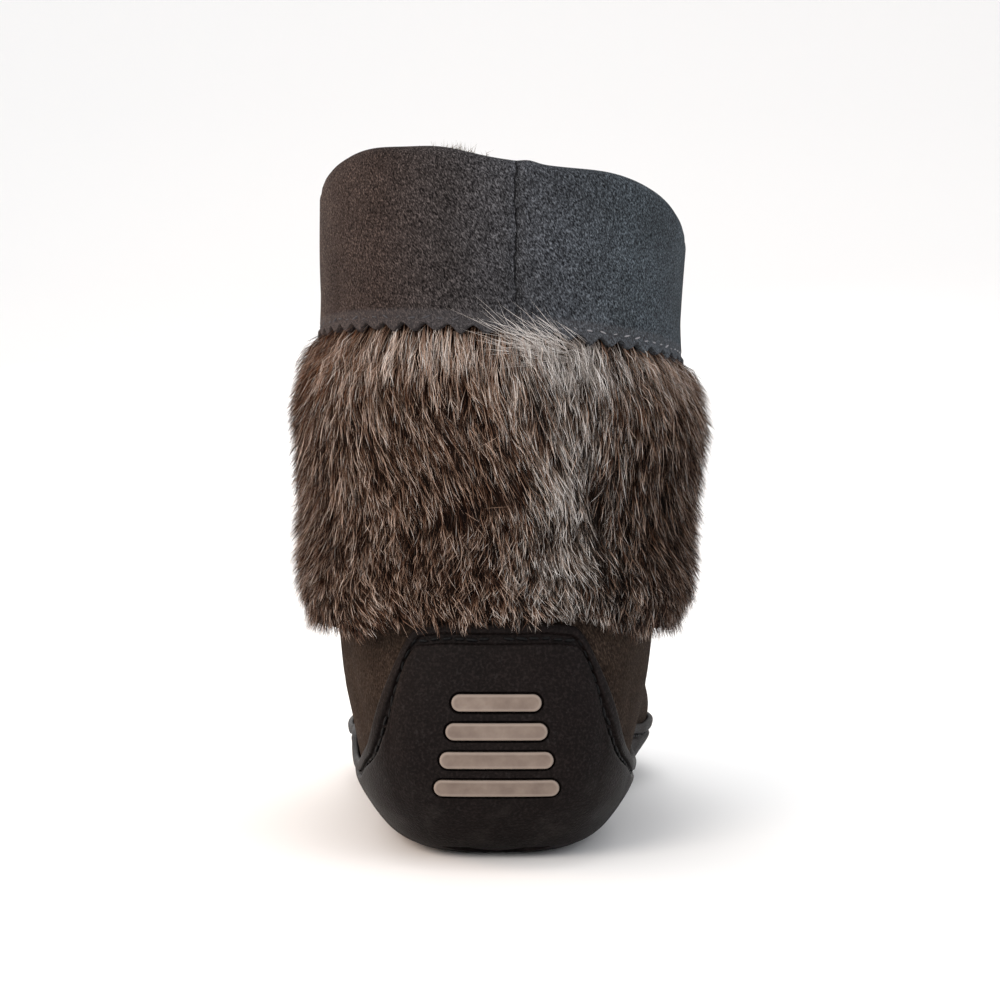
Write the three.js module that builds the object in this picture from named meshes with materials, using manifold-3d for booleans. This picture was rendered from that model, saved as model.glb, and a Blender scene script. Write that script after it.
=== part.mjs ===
// Mukluk boot for a left foot: rubber cup sole, footbed, suede upper with its shaft, fur band and suede cuff.
// Millimetres. +Y runs from heel to toe, +X to the inner side of the foot, +Z up from the floor.
import * as THREE from "three";
import { mergeVertices } from "three/addons/utils/BufferGeometryUtils.js";
import Module from "manifold-3d";

const wasm = await Module();
wasm.setup();
const { lerp, smoothstep, radToDeg, seededRandom } = THREE.MathUtils;

// Driving sizes of the boot
const SOLE_LENGTH = 276;
const BALL_HALF = 57; // half width of the upper at the ball of the foot
const HEEL_BACK = 3.2; // rearmost point of the upper, inside the rubber
const TOE_FRONT = SOLE_LENGTH - 3.5;
const INSTEP_HEIGHT = 92;
const COLLAR_HEIGHT = 205; // at the back seam
const COLLAR_HALF = 57;
const SOLE_THICKNESS = 11; // rubber under the foot
const WALL = 2.4; // suede with its backing
const GAP = 0.3; // between pieces that meet

// Underside of the sole: arch and toe spring, and chevron grooves between the lugs
const ARCH = { middle: 112, halfLength: 46, rise: 4 };
const TOE_SPRING = { start: 196, rise: 11 };
const LUGS = { depth: 3.5, grooveWidth: 5, pitch: 18, sweep: 0.4, reach: 75 };
const TREAD_ROWS = [
  { first: 20, count: 3 },
  { first: 148, count: 6 },
];

// Heel inlays: plain grip bars let into the rubber, shorter towards the top
const BARS = { count: 4, lowest: 23.3, pitch: 8.2, height: 4.8, longest: 36, taper: 3.4, proud: 0.5 };
const POCKET = { depth: 1.6, margin: 0.7, clear: 4, through: 30 };

// Footbed, with a crowned top
const FOOTBED = { thickness: 6, shoulder: 4, crownInset: 5, clearance: 0.9, chamfer: 1 };

// Fur band and cuff, their edges in shares of the upper's rise
const HEM_RISE = { heel: 0.466, back: 0.428, front: 0.6 };
const HEM_DEGREES = { heel: 18, back: 34, sides: 70, front: 175 }; // from the heel, where each is kept to
const CUFF_RISE = 0.86;
const SHAFT_TOP = 0.985;
const CUFF = { thickness: 1.8, teeth: 55, toothRise: 0.0048, turnIn: 0.93, shoulder: 0.992, swell: 0.6,
  round: 0.5 };
const TUCK = { thickness: 1, rise: 0.01, clearance: 0.004 }; // edge of the fur band under the cuff
const LOCKS = { rows: 4, perRow: 10, lowest: 0.3, highest: 0.89, width: 28, length: 0.3, thickness: 4.2,
  sink: 3, lift: 2.2, sway: 0.07, sizeSpread: 0.2, stray: 0.2, seed: 7 };

const SEGMENTS = 48; // around the boot
const HEEL_FOCUS = 0.35; // how much closer the segments lie at the heel
const STEP = 1e-3; // of a finite difference

// A table's rows as a smooth function of its key column
function smoothTable(key, rows) {
  const names = Object.keys(rows[0]).filter((name) => name !== key);
  const curve = new THREE.CubicInterpolant(
    rows.map((row) => row[key]),
    rows.flatMap((row) => names.map((name) => row[name])),
    names.length,
  );
  return (at) => {
    const values = curve.evaluate(at);
    return Object.fromEntries(names.map((name, i) => [name, values[i]]));
  };
}

// One row for each level of the upper's skin, from the feather line to the collar. back and front are where
// the level crosses the centre line and how high; half is its half width; foot and vamp are how far it keeps
// those outlines; follow is how far it follows the arch and toe spring; tilt lowers the shaft's inner side.
const levelAt = smoothTable("rise", [
  { rise: 0, back: HEEL_BACK + 10, front: TOE_FRONT - 11, half: BALL_HALF - 7.5,
    backHeight: SOLE_THICKNESS, frontHeight: SOLE_THICKNESS, foot: 1, vamp: 0, follow: 1,
    heelBlunt: 3.6, toeBlunt: 2.9, tilt: 0, lean: 0 },
  { rise: 0.08, back: HEEL_BACK + 3, front: TOE_FRONT - 3.5, half: BALL_HALF - 2.5,
    backHeight: 19, frontHeight: 19, foot: 1, vamp: 0, follow: 1,
    heelBlunt: 3.7, toeBlunt: 2.9, tilt: 0, lean: 0 },
  { rise: 0.17, back: HEEL_BACK, front: TOE_FRONT, half: BALL_HALF,
    backHeight: 31, frontHeight: 30, foot: 0.95, vamp: 0.1, follow: 0.9,
    heelBlunt: 3.8, toeBlunt: 2.9, tilt: 0, lean: 0 },
  { rise: 0.26, back: HEEL_BACK + 0.3, front: TOE_FRONT - 4.5, half: BALL_HALF - 1.5,
    backHeight: 44, frontHeight: 46, foot: 0.5, vamp: 0.45, follow: 0.6,
    heelBlunt: 3.5, toeBlunt: 2.8, tilt: 0, lean: 0 },
  { rise: 0.34, back: HEEL_BACK + 1.8, front: TOE_FRONT - 18, half: BALL_HALF - 2.5,
    backHeight: 55, frontHeight: 60, foot: 0.2, vamp: 0.9, follow: 0.3,
    heelBlunt: 3.1, toeBlunt: 2.6, tilt: 0, lean: 0 },
  { rise: 0.43, back: HEEL_BACK + 3.8, front: TOE_FRONT - 47, half: BALL_HALF - 2.5,
    backHeight: 66, frontHeight: INSTEP_HEIGHT - 19, foot: 0.1, vamp: 1, follow: 0,
    heelBlunt: 2.8, toeBlunt: 2.4, tilt: 0, lean: 0 },
  { rise: 0.53, back: HEEL_BACK + 6.8, front: TOE_FRONT - 84, half: BALL_HALF - 3,
    backHeight: 80, frontHeight: INSTEP_HEIGHT, foot: 0, vamp: 0.7, follow: 0,
    heelBlunt: 2.5, toeBlunt: 2.2, tilt: 0.5, lean: 0 },
  { rise: 0.63, back: HEEL_BACK + 8.8, front: TOE_FRONT - 114, half: COLLAR_HALF - 3.5,
    backHeight: 98, frontHeight: INSTEP_HEIGHT + 19, foot: 0, vamp: 0.2, follow: 0,
    heelBlunt: 2.3, toeBlunt: 2.1, tilt: 1.5, lean: 0.3 },
  { rise: 0.73, back: HEEL_BACK + 9.3, front: TOE_FRONT - 127, half: COLLAR_HALF - 3,
    backHeight: 121, frontHeight: INSTEP_HEIGHT + 39, foot: 0, vamp: 0, follow: 0,
    heelBlunt: 2.2, toeBlunt: 2.1, tilt: 3, lean: 0.8 },
  { rise: 0.86, back: HEEL_BACK + 7.8, front: TOE_FRONT - 132, half: COLLAR_HALF - 1.7,
    backHeight: 155, frontHeight: INSTEP_HEIGHT + 61, foot: 0, vamp: 0, follow: 0,
    heelBlunt: 2.2, toeBlunt: 2.1, tilt: 4.5, lean: 1.6 },
  { rise: 1, back: HEEL_BACK + 4.8, front: TOE_FRONT - 133, half: COLLAR_HALF,
    backHeight: COLLAR_HEIGHT, frontHeight: COLLAR_HEIGHT - 12, foot: 0, vamp: 0, follow: 0,
    heelBlunt: 2.2, toeBlunt: 2.1, tilt: 8, lean: 2.5 },
]);

// Outlines from heel to toe as shares of the half width: both sides of the foot, the narrowing of the vamp
// above it, and how far the toe swings inwards, half as far on the vamp
const outlineAt = smoothTable("station", [
  { station: 0, outer: 0.77, inner: 0.77, vamp: 1, swing: 0 },
  { station: 0.18, outer: 0.8, inner: 0.79, vamp: 1, swing: 0 },
  { station: 0.42, outer: 0.87, inner: 0.79, vamp: 0.98, swing: 0 },
  { station: 0.66, outer: 0.985, inner: 1.06, vamp: 0.88, swing: 0 },
  { station: 0.84, outer: 0.93, inner: 0.97, vamp: 0.84, swing: 2.5 },
  { station: 1, outer: 0.84, inner: 0.88, vamp: 0.86, swing: 8 },
]);

// Upper edge of the rubber above its own underside: a high panel at the heel, a low rim along the foot
const rubberEdgeAt = smoothTable("degrees", [
  { degrees: 0, height: 70 },
  { degrees: 12, height: 69.5 },
  { degrees: 17, height: 67 },
  { degrees: 20.5, height: 54.5 },
  { degrees: 24.5, height: 43 },
  { degrees: 29, height: 35.5 },
  { degrees: 35, height: 31 },
  { degrees: 43, height: 26.5 },
  { degrees: 55, height: 24 },
  { degrees: 75, height: 23 },
  { degrees: 120, height: 23 },
  { degrees: 155, height: 26 },
  { degrees: 180, height: 28 },
]);

// Apron seam of the vamp, as a share of the way from the rubber's edge to the fur's hem, and its height
const seamAt = smoothTable("degrees", [
  { degrees: 0, share: 0.5, ridge: 0 },
  { degrees: 70, share: 0.6, ridge: 0 },
  { degrees: 100, share: 0.9, ridge: 0.6 },
  { degrees: 125, share: 0.74, ridge: 2 },
  { degrees: 150, share: 0.52, ridge: 2 },
  { degrees: 180, share: 0.44, ridge: 2 },
]);

// Rubber wall from its lip down to the feather line: inset runs down from the edge, offset out from the upper
const WALL_ROWS = [
  { inset: 0, offset: GAP },
  { inset: 0, offset: 1.7 },
  { inset: 0.8, offset: 2.6 },
  { inset: 2.9, offset: 2.7 },
  { inset: 3.2, offset: 1.5 },
  { inset: 4.5, offset: 1.5 },
  { inset: 4.9, offset: 3 },
];
const WALL_MIDDLE = 0.15; // rise of the rubber wall's middle
const PANEL_OFFSET = 3.2;
const PANEL_SHARES = [0.75, 0.5, 0.25, 0];

// Rounded edge under the sole: grow is out from the feather line, lift is above the underside
const UNDER_ROWS = [
  { grow: 2, lift: 7 },
  { grow: -2.5, lift: 3.2 },
  { grow: -8, lift: 0.9 },
  { grow: -14, lift: 0 },
];

// How far the fur stands off the upper, from its hem to the cuff
const furLoftAt = smoothTable("share", [
  { share: 0, back: 5.5, sides: 8.5 },
  { share: 0.15, back: 8, sides: 11.5 },
  { share: 0.5, back: 7.5, sides: 11 },
  { share: 0.92, back: 7, sides: 9 },
  { share: 1, back: 3, sides: 3 },
]);

function underside(y) {
  const arch = Math.max(0, 1 - ((y - ARCH.middle) / ARCH.halfLength) ** 2);
  const toe = Math.max(0, (y - TOE_SPRING.start) / (SOLE_LENGTH - TOE_SPRING.start));
  return ARCH.rise * arch ** 2 + TOE_SPRING.rise * toe ** 2;
}

// A point of a level: turn runs from the heel round the inner side to the toe and back along the outer side
function levelPoint(turn, level) {
  const along = Math.cos(turn);
  const station = (1 - along) / 2;
  const blunt = lerp(level.heelBlunt, level.toeBlunt, station);
  const side = (1 - Math.abs(along) ** blunt) ** (1 / blunt) * Math.sign(Math.sin(turn));
  const shape = outlineAt(station);
  const footShare = lerp(1, side > 0 ? shape.inner : shape.outer, level.foot);
  const half = level.half * footShare * lerp(1, shape.vamp, level.vamp);
  const swing = shape.swing * Math.max(level.foot, level.vamp / 2);
  const y = lerp(level.back, level.front, station);
  const height = lerp(level.backHeight, level.frontHeight, station);
  return new THREE.Vector3(
    half * side + swing + level.lean,
    y,
    height + level.follow * underside(y) - level.tilt * side,
  );
}

// The upper's outer skin, or a surface that far outside it
function skin(turn, rise, offset = 0) {
  const at = (t, r) => levelPoint(t, levelAt(r));
  const across = at(turn + STEP, rise).sub(at(turn - STEP, rise));
  const up = at(turn, rise + STEP).sub(at(turn, rise - STEP));
  return at(turn, rise).addScaledVector(across.cross(up).normalize(), offset);
}

function riseAtHeight(turn, height) {
  let low = 0;
  let high = 1;
  while (high - low > STEP / 10) {
    const middle = (low + high) / 2;
    if (skin(turn, middle).z < height) low = middle;
    else high = middle;
  }
  return (low + high) / 2;
}

const degreesFromHeel = (turn) => radToDeg(Math.acos(Math.cos(turn)));

function rubberEdge(turn) {
  return rubberEdgeAt(degreesFromHeel(turn)).height + underside(skin(turn, 0).y);
}

// The rise of the line that runs inset below the rubber's edge, measured square to that edge
function rubberRise(turn, inset = 0) {
  const ahead = skin(turn + STEP, WALL_MIDDLE);
  const behind = skin(turn - STEP, WALL_MIDDLE);
  const run = Math.hypot(ahead.x - behind.x, ahead.y - behind.y);
  const slope = (rubberEdge(turn + STEP) - rubberEdge(turn - STEP)) / run;
  return riseAtHeight(turn, rubberEdge(turn) - inset * Math.hypot(1, slope));
}

function hemRise(turn) {
  const degrees = degreesFromHeel(turn);
  const { heel, back, sides, front } = HEM_DEGREES;
  const atBack = lerp(HEM_RISE.heel, HEM_RISE.back, smoothstep(degrees, heel, back));
  return lerp(atBack, HEM_RISE.front, smoothstep(degrees, sides, front));
}

function seamRise(turn) {
  return lerp(rubberRise(turn), hemRise(turn), seamAt(degreesFromHeel(turn)).share);
}

// Turns that the rings of a solid are made at, closer together at the heel
const evenTurns = (segments) => Array.from({ length: segments }, (_, i) => (i / segments) * 2 * Math.PI);
const BOOT_TURNS = evenTurns(SEGMENTS).map((even) => even - HEEL_FOCUS * Math.sin(even));

function geometryFrom(points, triangles) {
  const geometry = new THREE.BufferGeometry().setFromPoints(points);
  geometry.setIndex(triangles);
  return geometry;
}

// Two triangles for each step between neighbouring rings, split along the shorter diagonal
function bandTriangles(points, lower, upper, segments) {
  return Array.from({ length: segments }, (_, i) => {
    const j = (i + 1) % segments;
    const [a, b, c, d] = [lower + i, lower + j, upper + j, upper + i];
    const split = points[a].distanceTo(points[c]) < points[b].distanceTo(points[d]);
    return split ? [a, b, c, a, c, d] : [a, b, d, b, c, d];
  }).flat();
}

// A closed band round the boot, from rows that go up its outside and down its inside
function bandSolid(rows, turns = BOOT_TURNS) {
  const segments = turns.length;
  const points = rows.flatMap((row) => turns.map(row));
  const triangles = rows.flatMap((_, k) =>
    bandTriangles(points, k * segments, ((k + 1) % rows.length) * segments, segments),
  );
  return geometryFrom(points, triangles);
}

// Rungs from side to side that close a ring
function rungTriangles(first, segments) {
  return Array.from({ length: segments / 2 }, (_, i) => {
    const [a, b, c, d] = [i, i + 1, segments - i - 1, (segments - i) % segments].map((n) => first + n);
    return [...(b === c ? [] : [a, b, c]), ...(a === d ? [] : [a, c, d])];
  }).flat();
}

const turnedOver = (triangles) => triangles.map((_, i) => triangles[i - (i % 3) + [0, 2, 1][i % 3]]);

// A closed bowl or slab, from rows that go up its outside and down its inside, closed at both ends
function bowlSolid(rows, turns = BOOT_TURNS) {
  const segments = turns.length;
  const points = rows.flatMap((row) => turns.map(row));
  const triangles = rows
    .slice(1)
    .flatMap((_, k) => bandTriangles(points, k * segments, (k + 1) * segments, segments));
  const under = turnedOver(rungTriangles(0, segments));
  const top = rungTriangles((rows.length - 1) * segments, segments);
  return geometryFrom(points, [...triangles, ...under, ...top]);
}

function solidOf(geometry) {
  const bare = geometry.clone();
  bare.deleteAttribute("normal");
  bare.deleteAttribute("uv");
  const merged = mergeVertices(bare, STEP);
  return new wasm.Manifold(
    new wasm.Mesh({
      numProp: 3,
      vertProperties: merged.attributes.position.array,
      triVerts: new Uint32Array(merged.index.array),
    }),
  );
}

function geometryOf(solid) {
  const { vertProperties, triVerts } = solid.getMesh();
  return new THREE.BufferGeometry()
    .setAttribute("position", new THREE.BufferAttribute(vertProperties, 3))
    .setIndex(new THREE.BufferAttribute(triVerts, 1));
}

// Outsole: a cup that holds the upper, its heel panel and rim raised, its underside cut by the tread
const CUP_SHARES = [0, 0.12, 0.35, 0.68];

function underRow({ grow, lift }) {
  const feather = levelAt(0);
  const { back, front, half } = feather;
  const level = { ...feather, back: back - grow, front: front + grow, half: half + grow };
  return (turn) => {
    const point = levelPoint(turn, level);
    return point.setZ(underside(point.y) + lift);
  };
}

function cupSole() {
  const under = UNDER_ROWS.map(underRow).reverse();
  const lowestInset = WALL_ROWS.at(-1).inset;
  const panel = PANEL_SHARES.map(
    (share) => (turn) => skin(turn, share * rubberRise(turn, lowestInset), PANEL_OFFSET),
  ).reverse();
  const rim = WALL_ROWS.map(
    ({ inset, offset }) => (turn) => skin(turn, rubberRise(turn, inset), offset),
  ).reverse();
  const cup = CUP_SHARES.map(
    (share) => (turn) => skin(turn, share * rubberRise(turn), GAP),
  ).reverse();
  const floor = (turn) => skin(turn, 0, GAP).add(new THREE.Vector3(0, 0, -GAP));
  return solidOf(bowlSolid([...under, ...panel, ...rim, ...cup, floor]));
}

// One groove of the tread: a chevron across the foot, its point to the toe, as deep as the lugs all along
function treadGroove(y) {
  const { depth, grooveWidth, sweep, reach } = LUGS;
  const wingEnd = y - sweep * reach;
  const chevron = new THREE.Shape([
    new THREE.Vector2(0, y),
    new THREE.Vector2(reach, wingEnd),
    new THREE.Vector2(reach, wingEnd + grooveWidth),
    new THREE.Vector2(0, y + grooveWidth),
    new THREE.Vector2(-reach, wingEnd + grooveWidth),
    new THREE.Vector2(-reach, wingEnd),
  ]);
  const prism = new THREE.ExtrudeGeometry(chevron, { depth: 2 * depth, bevelEnabled: false });
  const corners = prism.attributes.position;
  for (let i = 0; i < corners.count; i++) {
    corners.setZ(i, corners.getZ(i) - depth + underside(corners.getY(i)));
  }
  return solidOf(prism);
}

const barIndices = Array.from({ length: BARS.count }, (_, i) => i);

// A round-ended bar seen from behind, run through the back of the heel
function barPrism(index, margin) {
  const half = (BARS.longest - BARS.taper * index) / 2 + margin;
  const radius = BARS.height / 2 + margin;
  const straight = half - radius;
  const outline = new THREE.Shape();
  outline.absarc(straight, 0, radius, -Math.PI / 2, Math.PI / 2);
  outline.absarc(-straight, 0, radius, Math.PI / 2, (3 * Math.PI) / 2);
  const prism = new THREE.ExtrudeGeometry(outline, {
    depth: POCKET.through,
    bevelEnabled: false,
    curveSegments: 4,
  });
  prism.rotateX(Math.PI / 2).translate(0, POCKET.through / 2, BARS.lowest + BARS.pitch * index);
  return solidOf(prism);
}

// The rubber wall at a bar's height, between two distances from the upper's skin
function wallStrip(index, inner, outer) {
  const heights = [-1, 0, 1].map((step) => BARS.lowest + BARS.pitch * (index + step));
  const row = (height, offset) => (turn) => skin(turn, riseAtHeight(turn, height), offset);
  const outside = heights.map((height) => row(height, outer));
  const inside = heights.map((height) => row(height, inner)).reverse();
  return solidOf(bandSolid([...outside, ...inside]));
}

function barPocket(index) {
  const strip = wallStrip(index, PANEL_OFFSET - POCKET.depth, PANEL_OFFSET + POCKET.clear);
  return barPrism(index, POCKET.margin).intersect(strip);
}

function heelInlay(index) {
  const strip = wallStrip(index, PANEL_OFFSET - POCKET.depth + GAP, PANEL_OFFSET + BARS.proud);
  return geometryOf(barPrism(index, 0).intersect(strip));
}

function outsole() {
  const grooves = TREAD_ROWS.flatMap(({ first, count }) =>
    Array.from({ length: count }, (_, i) => treadGroove(first + i * LUGS.pitch)),
  );
  const cuts = [...grooves, ...barIndices.map(barPocket)];
  return geometryOf(cuts.reduce((solid, cut) => solid.subtract(cut), cupSole()));
}

// Footbed inside the upper, on the cup's floor
function footbed() {
  const { thickness, shoulder, crownInset, clearance, chamfer } = FOOTBED;
  const inside = (turn, height, inset) => {
    const rise = riseAtHeight(turn, SOLE_THICKNESS + underside(skin(turn, 0).y) + height);
    return skin(turn, rise, -WALL - clearance - inset);
  };
  return bowlSolid([
    (turn) => inside(turn, 0, chamfer).setZ(skin(turn, 0).z),
    (turn) => inside(turn, 0, 0).setZ(skin(turn, 0).z + chamfer),
    (turn) => inside(turn, shoulder, 0),
    (turn) => inside(turn, thickness, crownInset),
  ]);
}

// Upper: one wall from the feather line to the top of the shaft, open above and below, with the apron seam
// of the vamp raised on it
const featherLine = () => 0;
const cuffLine = () => CUFF_RISE;
const shaftTop = () => SHAFT_TOP;

function risesBetween(from, to, shares) {
  return shares.map((share) => (turn) => lerp(from(turn), to(turn), share));
}

function upper() {
  const cup = risesBetween(featherLine, rubberRise, CUP_SHARES);
  const shaft = risesBetween(cuffLine, shaftTop, [0, 1]);
  const below = [...cup, ...risesBetween(rubberRise, seamRise, [0, 0.4, 0.75, 0.94])];
  const above = [
    ...risesBetween(seamRise, hemRise, [0.06, 0.3, 0.65]),
    ...risesBetween(hemRise, cuffLine, FUR_SHARES),
    ...shaft,
  ];
  const inner = [
    ...cup,
    ...risesBetween(rubberRise, seamRise, [0, 0.5]),
    ...risesBetween(seamRise, hemRise, [0, 0.5]),
    ...risesBetween(hemRise, cuffLine, FUR_SHARES),
    ...shaft,
  ];
  const rowAt = (offset) => (rise) => (turn) => skin(turn, rise(turn), offset);
  const ridge = (turn) => skin(turn, seamRise(turn), seamAt(degreesFromHeel(turn)).ridge);
  const outside = [...below.map(rowAt(0)), ridge, ...above.map(rowAt(0))];
  const inside = inner.map(rowAt(-WALL)).reverse();
  return bandSolid([...outside, ...inside]);
}

// Fur band: a thick ring on the shaft, its top edge under the cuff, with rows of tapering locks fused on,
// each hanging over the next
const FUR_SHARES = [0, 0.4, 0.7];

function furLoft(turn, share) {
  const loft = furLoftAt(share);
  return lerp(loft.back, loft.sides, Math.sin(turn) ** 2);
}

const FUR_TOP = CUFF_RISE - CUFF.toothRise - TUCK.clearance;
const furRise = (turn, share) => lerp(hemRise(turn), FUR_TOP, share);

const spread = (amount) => lerp(-amount, amount, seededRandom());

function furLock(turn, share) {
  const size = 1 + spread(LOCKS.sizeSpread);
  const sway = spread(LOCKS.sway);
  const halfTurn = (LOCKS.width * size) / 2 / COLLAR_HALF;
  const place = (along, aside, out) => {
    const at = share - along * LOCKS.length * size;
    return skin(turn + sway * along + aside, furRise(turn, at), furLoft(turn, Math.max(0, at)) + out);
  };
  const sections = [
    { along: 0, width: 0.6, thickness: 0.3 },
    { along: 0.55, width: 1, thickness: 1 },
  ];
  const points = sections.flatMap(({ along, width, thickness }) => [
    place(along, -halfTurn * width, -LOCKS.sink / 2),
    place(along, 0, -LOCKS.sink),
    place(along, halfTurn * width, -LOCKS.sink / 2),
    place(along, 0, LOCKS.thickness * thickness * size),
  ]);
  points.push(place(1, 0, LOCKS.lift));
  const corners = [0, 1, 2, 3];
  const root = [0, 2, 1, 0, 3, 2];
  const sides = corners.flatMap((i) => {
    const j = (i + 1) % 4;
    return [i, j, 4 + j, i, 4 + j, 4 + i];
  });
  const tip = corners.flatMap((i) => [4 + i, 4 + ((i + 1) % 4), 8]);
  return solidOf(geometryFrom(points, [...root, ...sides, ...tip]));
}

function furBand() {
  const tuckTop = CUFF_RISE + CUFF.toothRise + TUCK.rise;
  const outside = [0, 0.15, 0.4, 0.7, 0.92].map(
    (share) => (turn) => skin(turn, furRise(turn, share), furLoft(turn, share)),
  );
  const tuck = [
    (turn) => skin(turn, furRise(turn, 1), GAP + TUCK.thickness),
    (turn) => skin(turn, tuckTop, GAP + TUCK.thickness),
    (turn) => skin(turn, tuckTop, GAP),
  ];
  const inside = risesBetween(hemRise, cuffLine, [...FUR_SHARES, 1])
    .map((rise) => (turn) => skin(turn, rise(turn), GAP))
    .reverse();
  let fur = solidOf(bandSolid([...outside, ...tuck, ...inside]));
  seededRandom(LOCKS.seed);
  for (let row = 0; row < LOCKS.rows; row++) {
    const share = lerp(LOCKS.lowest, LOCKS.highest, row / (LOCKS.rows - 1));
    const stagger = (row % 2) / 2;
    for (let i = 0; i < LOCKS.perRow; i++) {
      const turn = ((i + stagger + spread(LOCKS.stray)) / LOCKS.perRow) * 2 * Math.PI;
      fur = fur.add(furLock(turn, share));
    }
  }
  const bodies = solidOf(geometryOf(fur)).decompose();
  const [whole] = bodies.sort((a, b) => b.volume() - a.volume()); // without the air pockets between locks
  return geometryOf(whole);
}

// Cuff: suede round the top of the shaft, folded over its rim, its pinked lower edge over the fur
function cuff() {
  const { thickness, teeth, toothRise, turnIn, shoulder, swell, round } = CUFF;
  const pinked = (i) => CUFF_RISE + (i % 2 ? toothRise : -toothRise);
  const overFur = GAP + TUCK.thickness + 2 * GAP;
  const outer = GAP + thickness;
  const inner = -WALL - 2 * GAP;
  const lift = new THREE.Vector3(0, 0, GAP);
  const rows = [
    (turn, i) => skin(turn, pinked(i), overFur + thickness),
    (turn) => skin(turn, lerp(CUFF_RISE, 1, 0.5), outer + swell),
    (turn) => skin(turn, shoulder, outer - round),
    (turn) => skin(turn, 1, -WALL / 2),
    (turn) => skin(turn, shoulder, inner - thickness + round),
    (turn) => skin(turn, turnIn, inner - thickness),
    (turn) => skin(turn, turnIn, inner),
    (turn) => skin(turn, SHAFT_TOP, inner).add(lift),
    (turn) => skin(turn, SHAFT_TOP, GAP).add(lift),
    (turn, i) => skin(turn, pinked(i), overFur),
  ];
  return bandSolid(rows, evenTurns(2 * teeth));
}

// Finishes
const rubber = new THREE.MeshStandardMaterial({ color: 0x2a2a2e, roughness: 0.7, metalness: 0 });
const tanRubber = new THREE.MeshStandardMaterial({ color: 0x7d6f66, roughness: 0.6, metalness: 0 });
const suede = new THREE.MeshStandardMaterial({ color: 0x3a3430, roughness: 0.95, metalness: 0 });
const cuffSuede = new THREE.MeshStandardMaterial({ color: 0x45454a, roughness: 0.95, metalness: 0 });
const rabbitFur = new THREE.MeshStandardMaterial({ color: 0x6b5d55, roughness: 0.9, metalness: 0 });
const fleece = new THREE.MeshStandardMaterial({ color: 0xb9b1a4, roughness: 1, metalness: 0 });

const boot = new THREE.Group();
function addPiece(name, geometry, material) {
  const mesh = new THREE.Mesh(geometry, material);
  mesh.name = name;
  boot.add(mesh);
}

addPiece("outsole", outsole(), rubber);
addPiece("footbed", footbed(), fleece);
addPiece("upper", upper(), suede);
addPiece("fur_band", furBand(), rabbitFur);
addPiece("cuff", cuff(), cuffSuede);
barIndices.forEach((index) => addPiece(`heel_inlay_${index + 1}`, heelInlay(index), tanRubber));

// The origin is on the floor, under the middle of the boot
const part = new THREE.Group();
const middle = new THREE.Box3().setFromObject(boot).getCenter(new THREE.Vector3());
boot.position.set(-middle.x, -middle.y, 0);
part.add(boot);

export default part;
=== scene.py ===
import math
from functools import partial
import bpy
import numpy as np
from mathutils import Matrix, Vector


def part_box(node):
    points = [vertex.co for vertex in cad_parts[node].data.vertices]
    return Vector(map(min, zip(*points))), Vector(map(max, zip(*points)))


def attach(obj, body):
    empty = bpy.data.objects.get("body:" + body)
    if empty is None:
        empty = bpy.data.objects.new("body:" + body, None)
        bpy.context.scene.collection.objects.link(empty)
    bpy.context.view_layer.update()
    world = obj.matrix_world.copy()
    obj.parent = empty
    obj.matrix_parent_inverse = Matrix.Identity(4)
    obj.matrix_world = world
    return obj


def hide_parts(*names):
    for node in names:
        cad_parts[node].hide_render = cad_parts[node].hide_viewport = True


# Mukluk boot for a left foot. Sizes below are millimetres in the boot's own measure: x to the inner side,
# y from heel to toe, z up. Meshes are written in metres, in the frame.
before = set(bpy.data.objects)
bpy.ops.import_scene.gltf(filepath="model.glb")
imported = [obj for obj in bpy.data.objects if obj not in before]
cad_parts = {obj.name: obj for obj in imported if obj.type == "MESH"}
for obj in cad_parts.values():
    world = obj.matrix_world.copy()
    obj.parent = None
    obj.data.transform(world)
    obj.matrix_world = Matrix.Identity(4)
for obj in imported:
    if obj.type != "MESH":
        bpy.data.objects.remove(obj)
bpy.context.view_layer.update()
mm = 0.001
print("frame:", ", ".join(sorted(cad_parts)))


def mix(a, b, share):
    return a + (b - a) * share


def ease(low, high, at):
    share = np.clip((at - low) / (high - low), 0, 1)
    return share * share * (3 - 2 * share)


def hump(at, middle, width):
    return np.exp(-(((at - middle) / width) ** 2))


def unit(vectors, least=0.0):
    return vectors / (np.linalg.norm(vectors, axis=-1, keepdims=True) + least)


# The upper's skin: the same levels and outlines that the solids are made from
boot = {
    "soleLength": 276, "ballHalf": 57, "collarHeight": 205, "soleThickness": 11, "wall": 2.4, "gap": 0.3,
    "archMiddle": 112, "archHalf": 46, "archRise": 4, "springStart": 196, "springRise": 11,
    "hemHeel": 0.466, "hemBack": 0.428, "hemFront": 0.6, "hemDegrees": (18, 34, 70, 175),
    "furTop": 0.8512, "cuffRise": 0.86, "shaftTop": 0.985, "wallMiddle": 0.15, "step": 1e-3,
}


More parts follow.
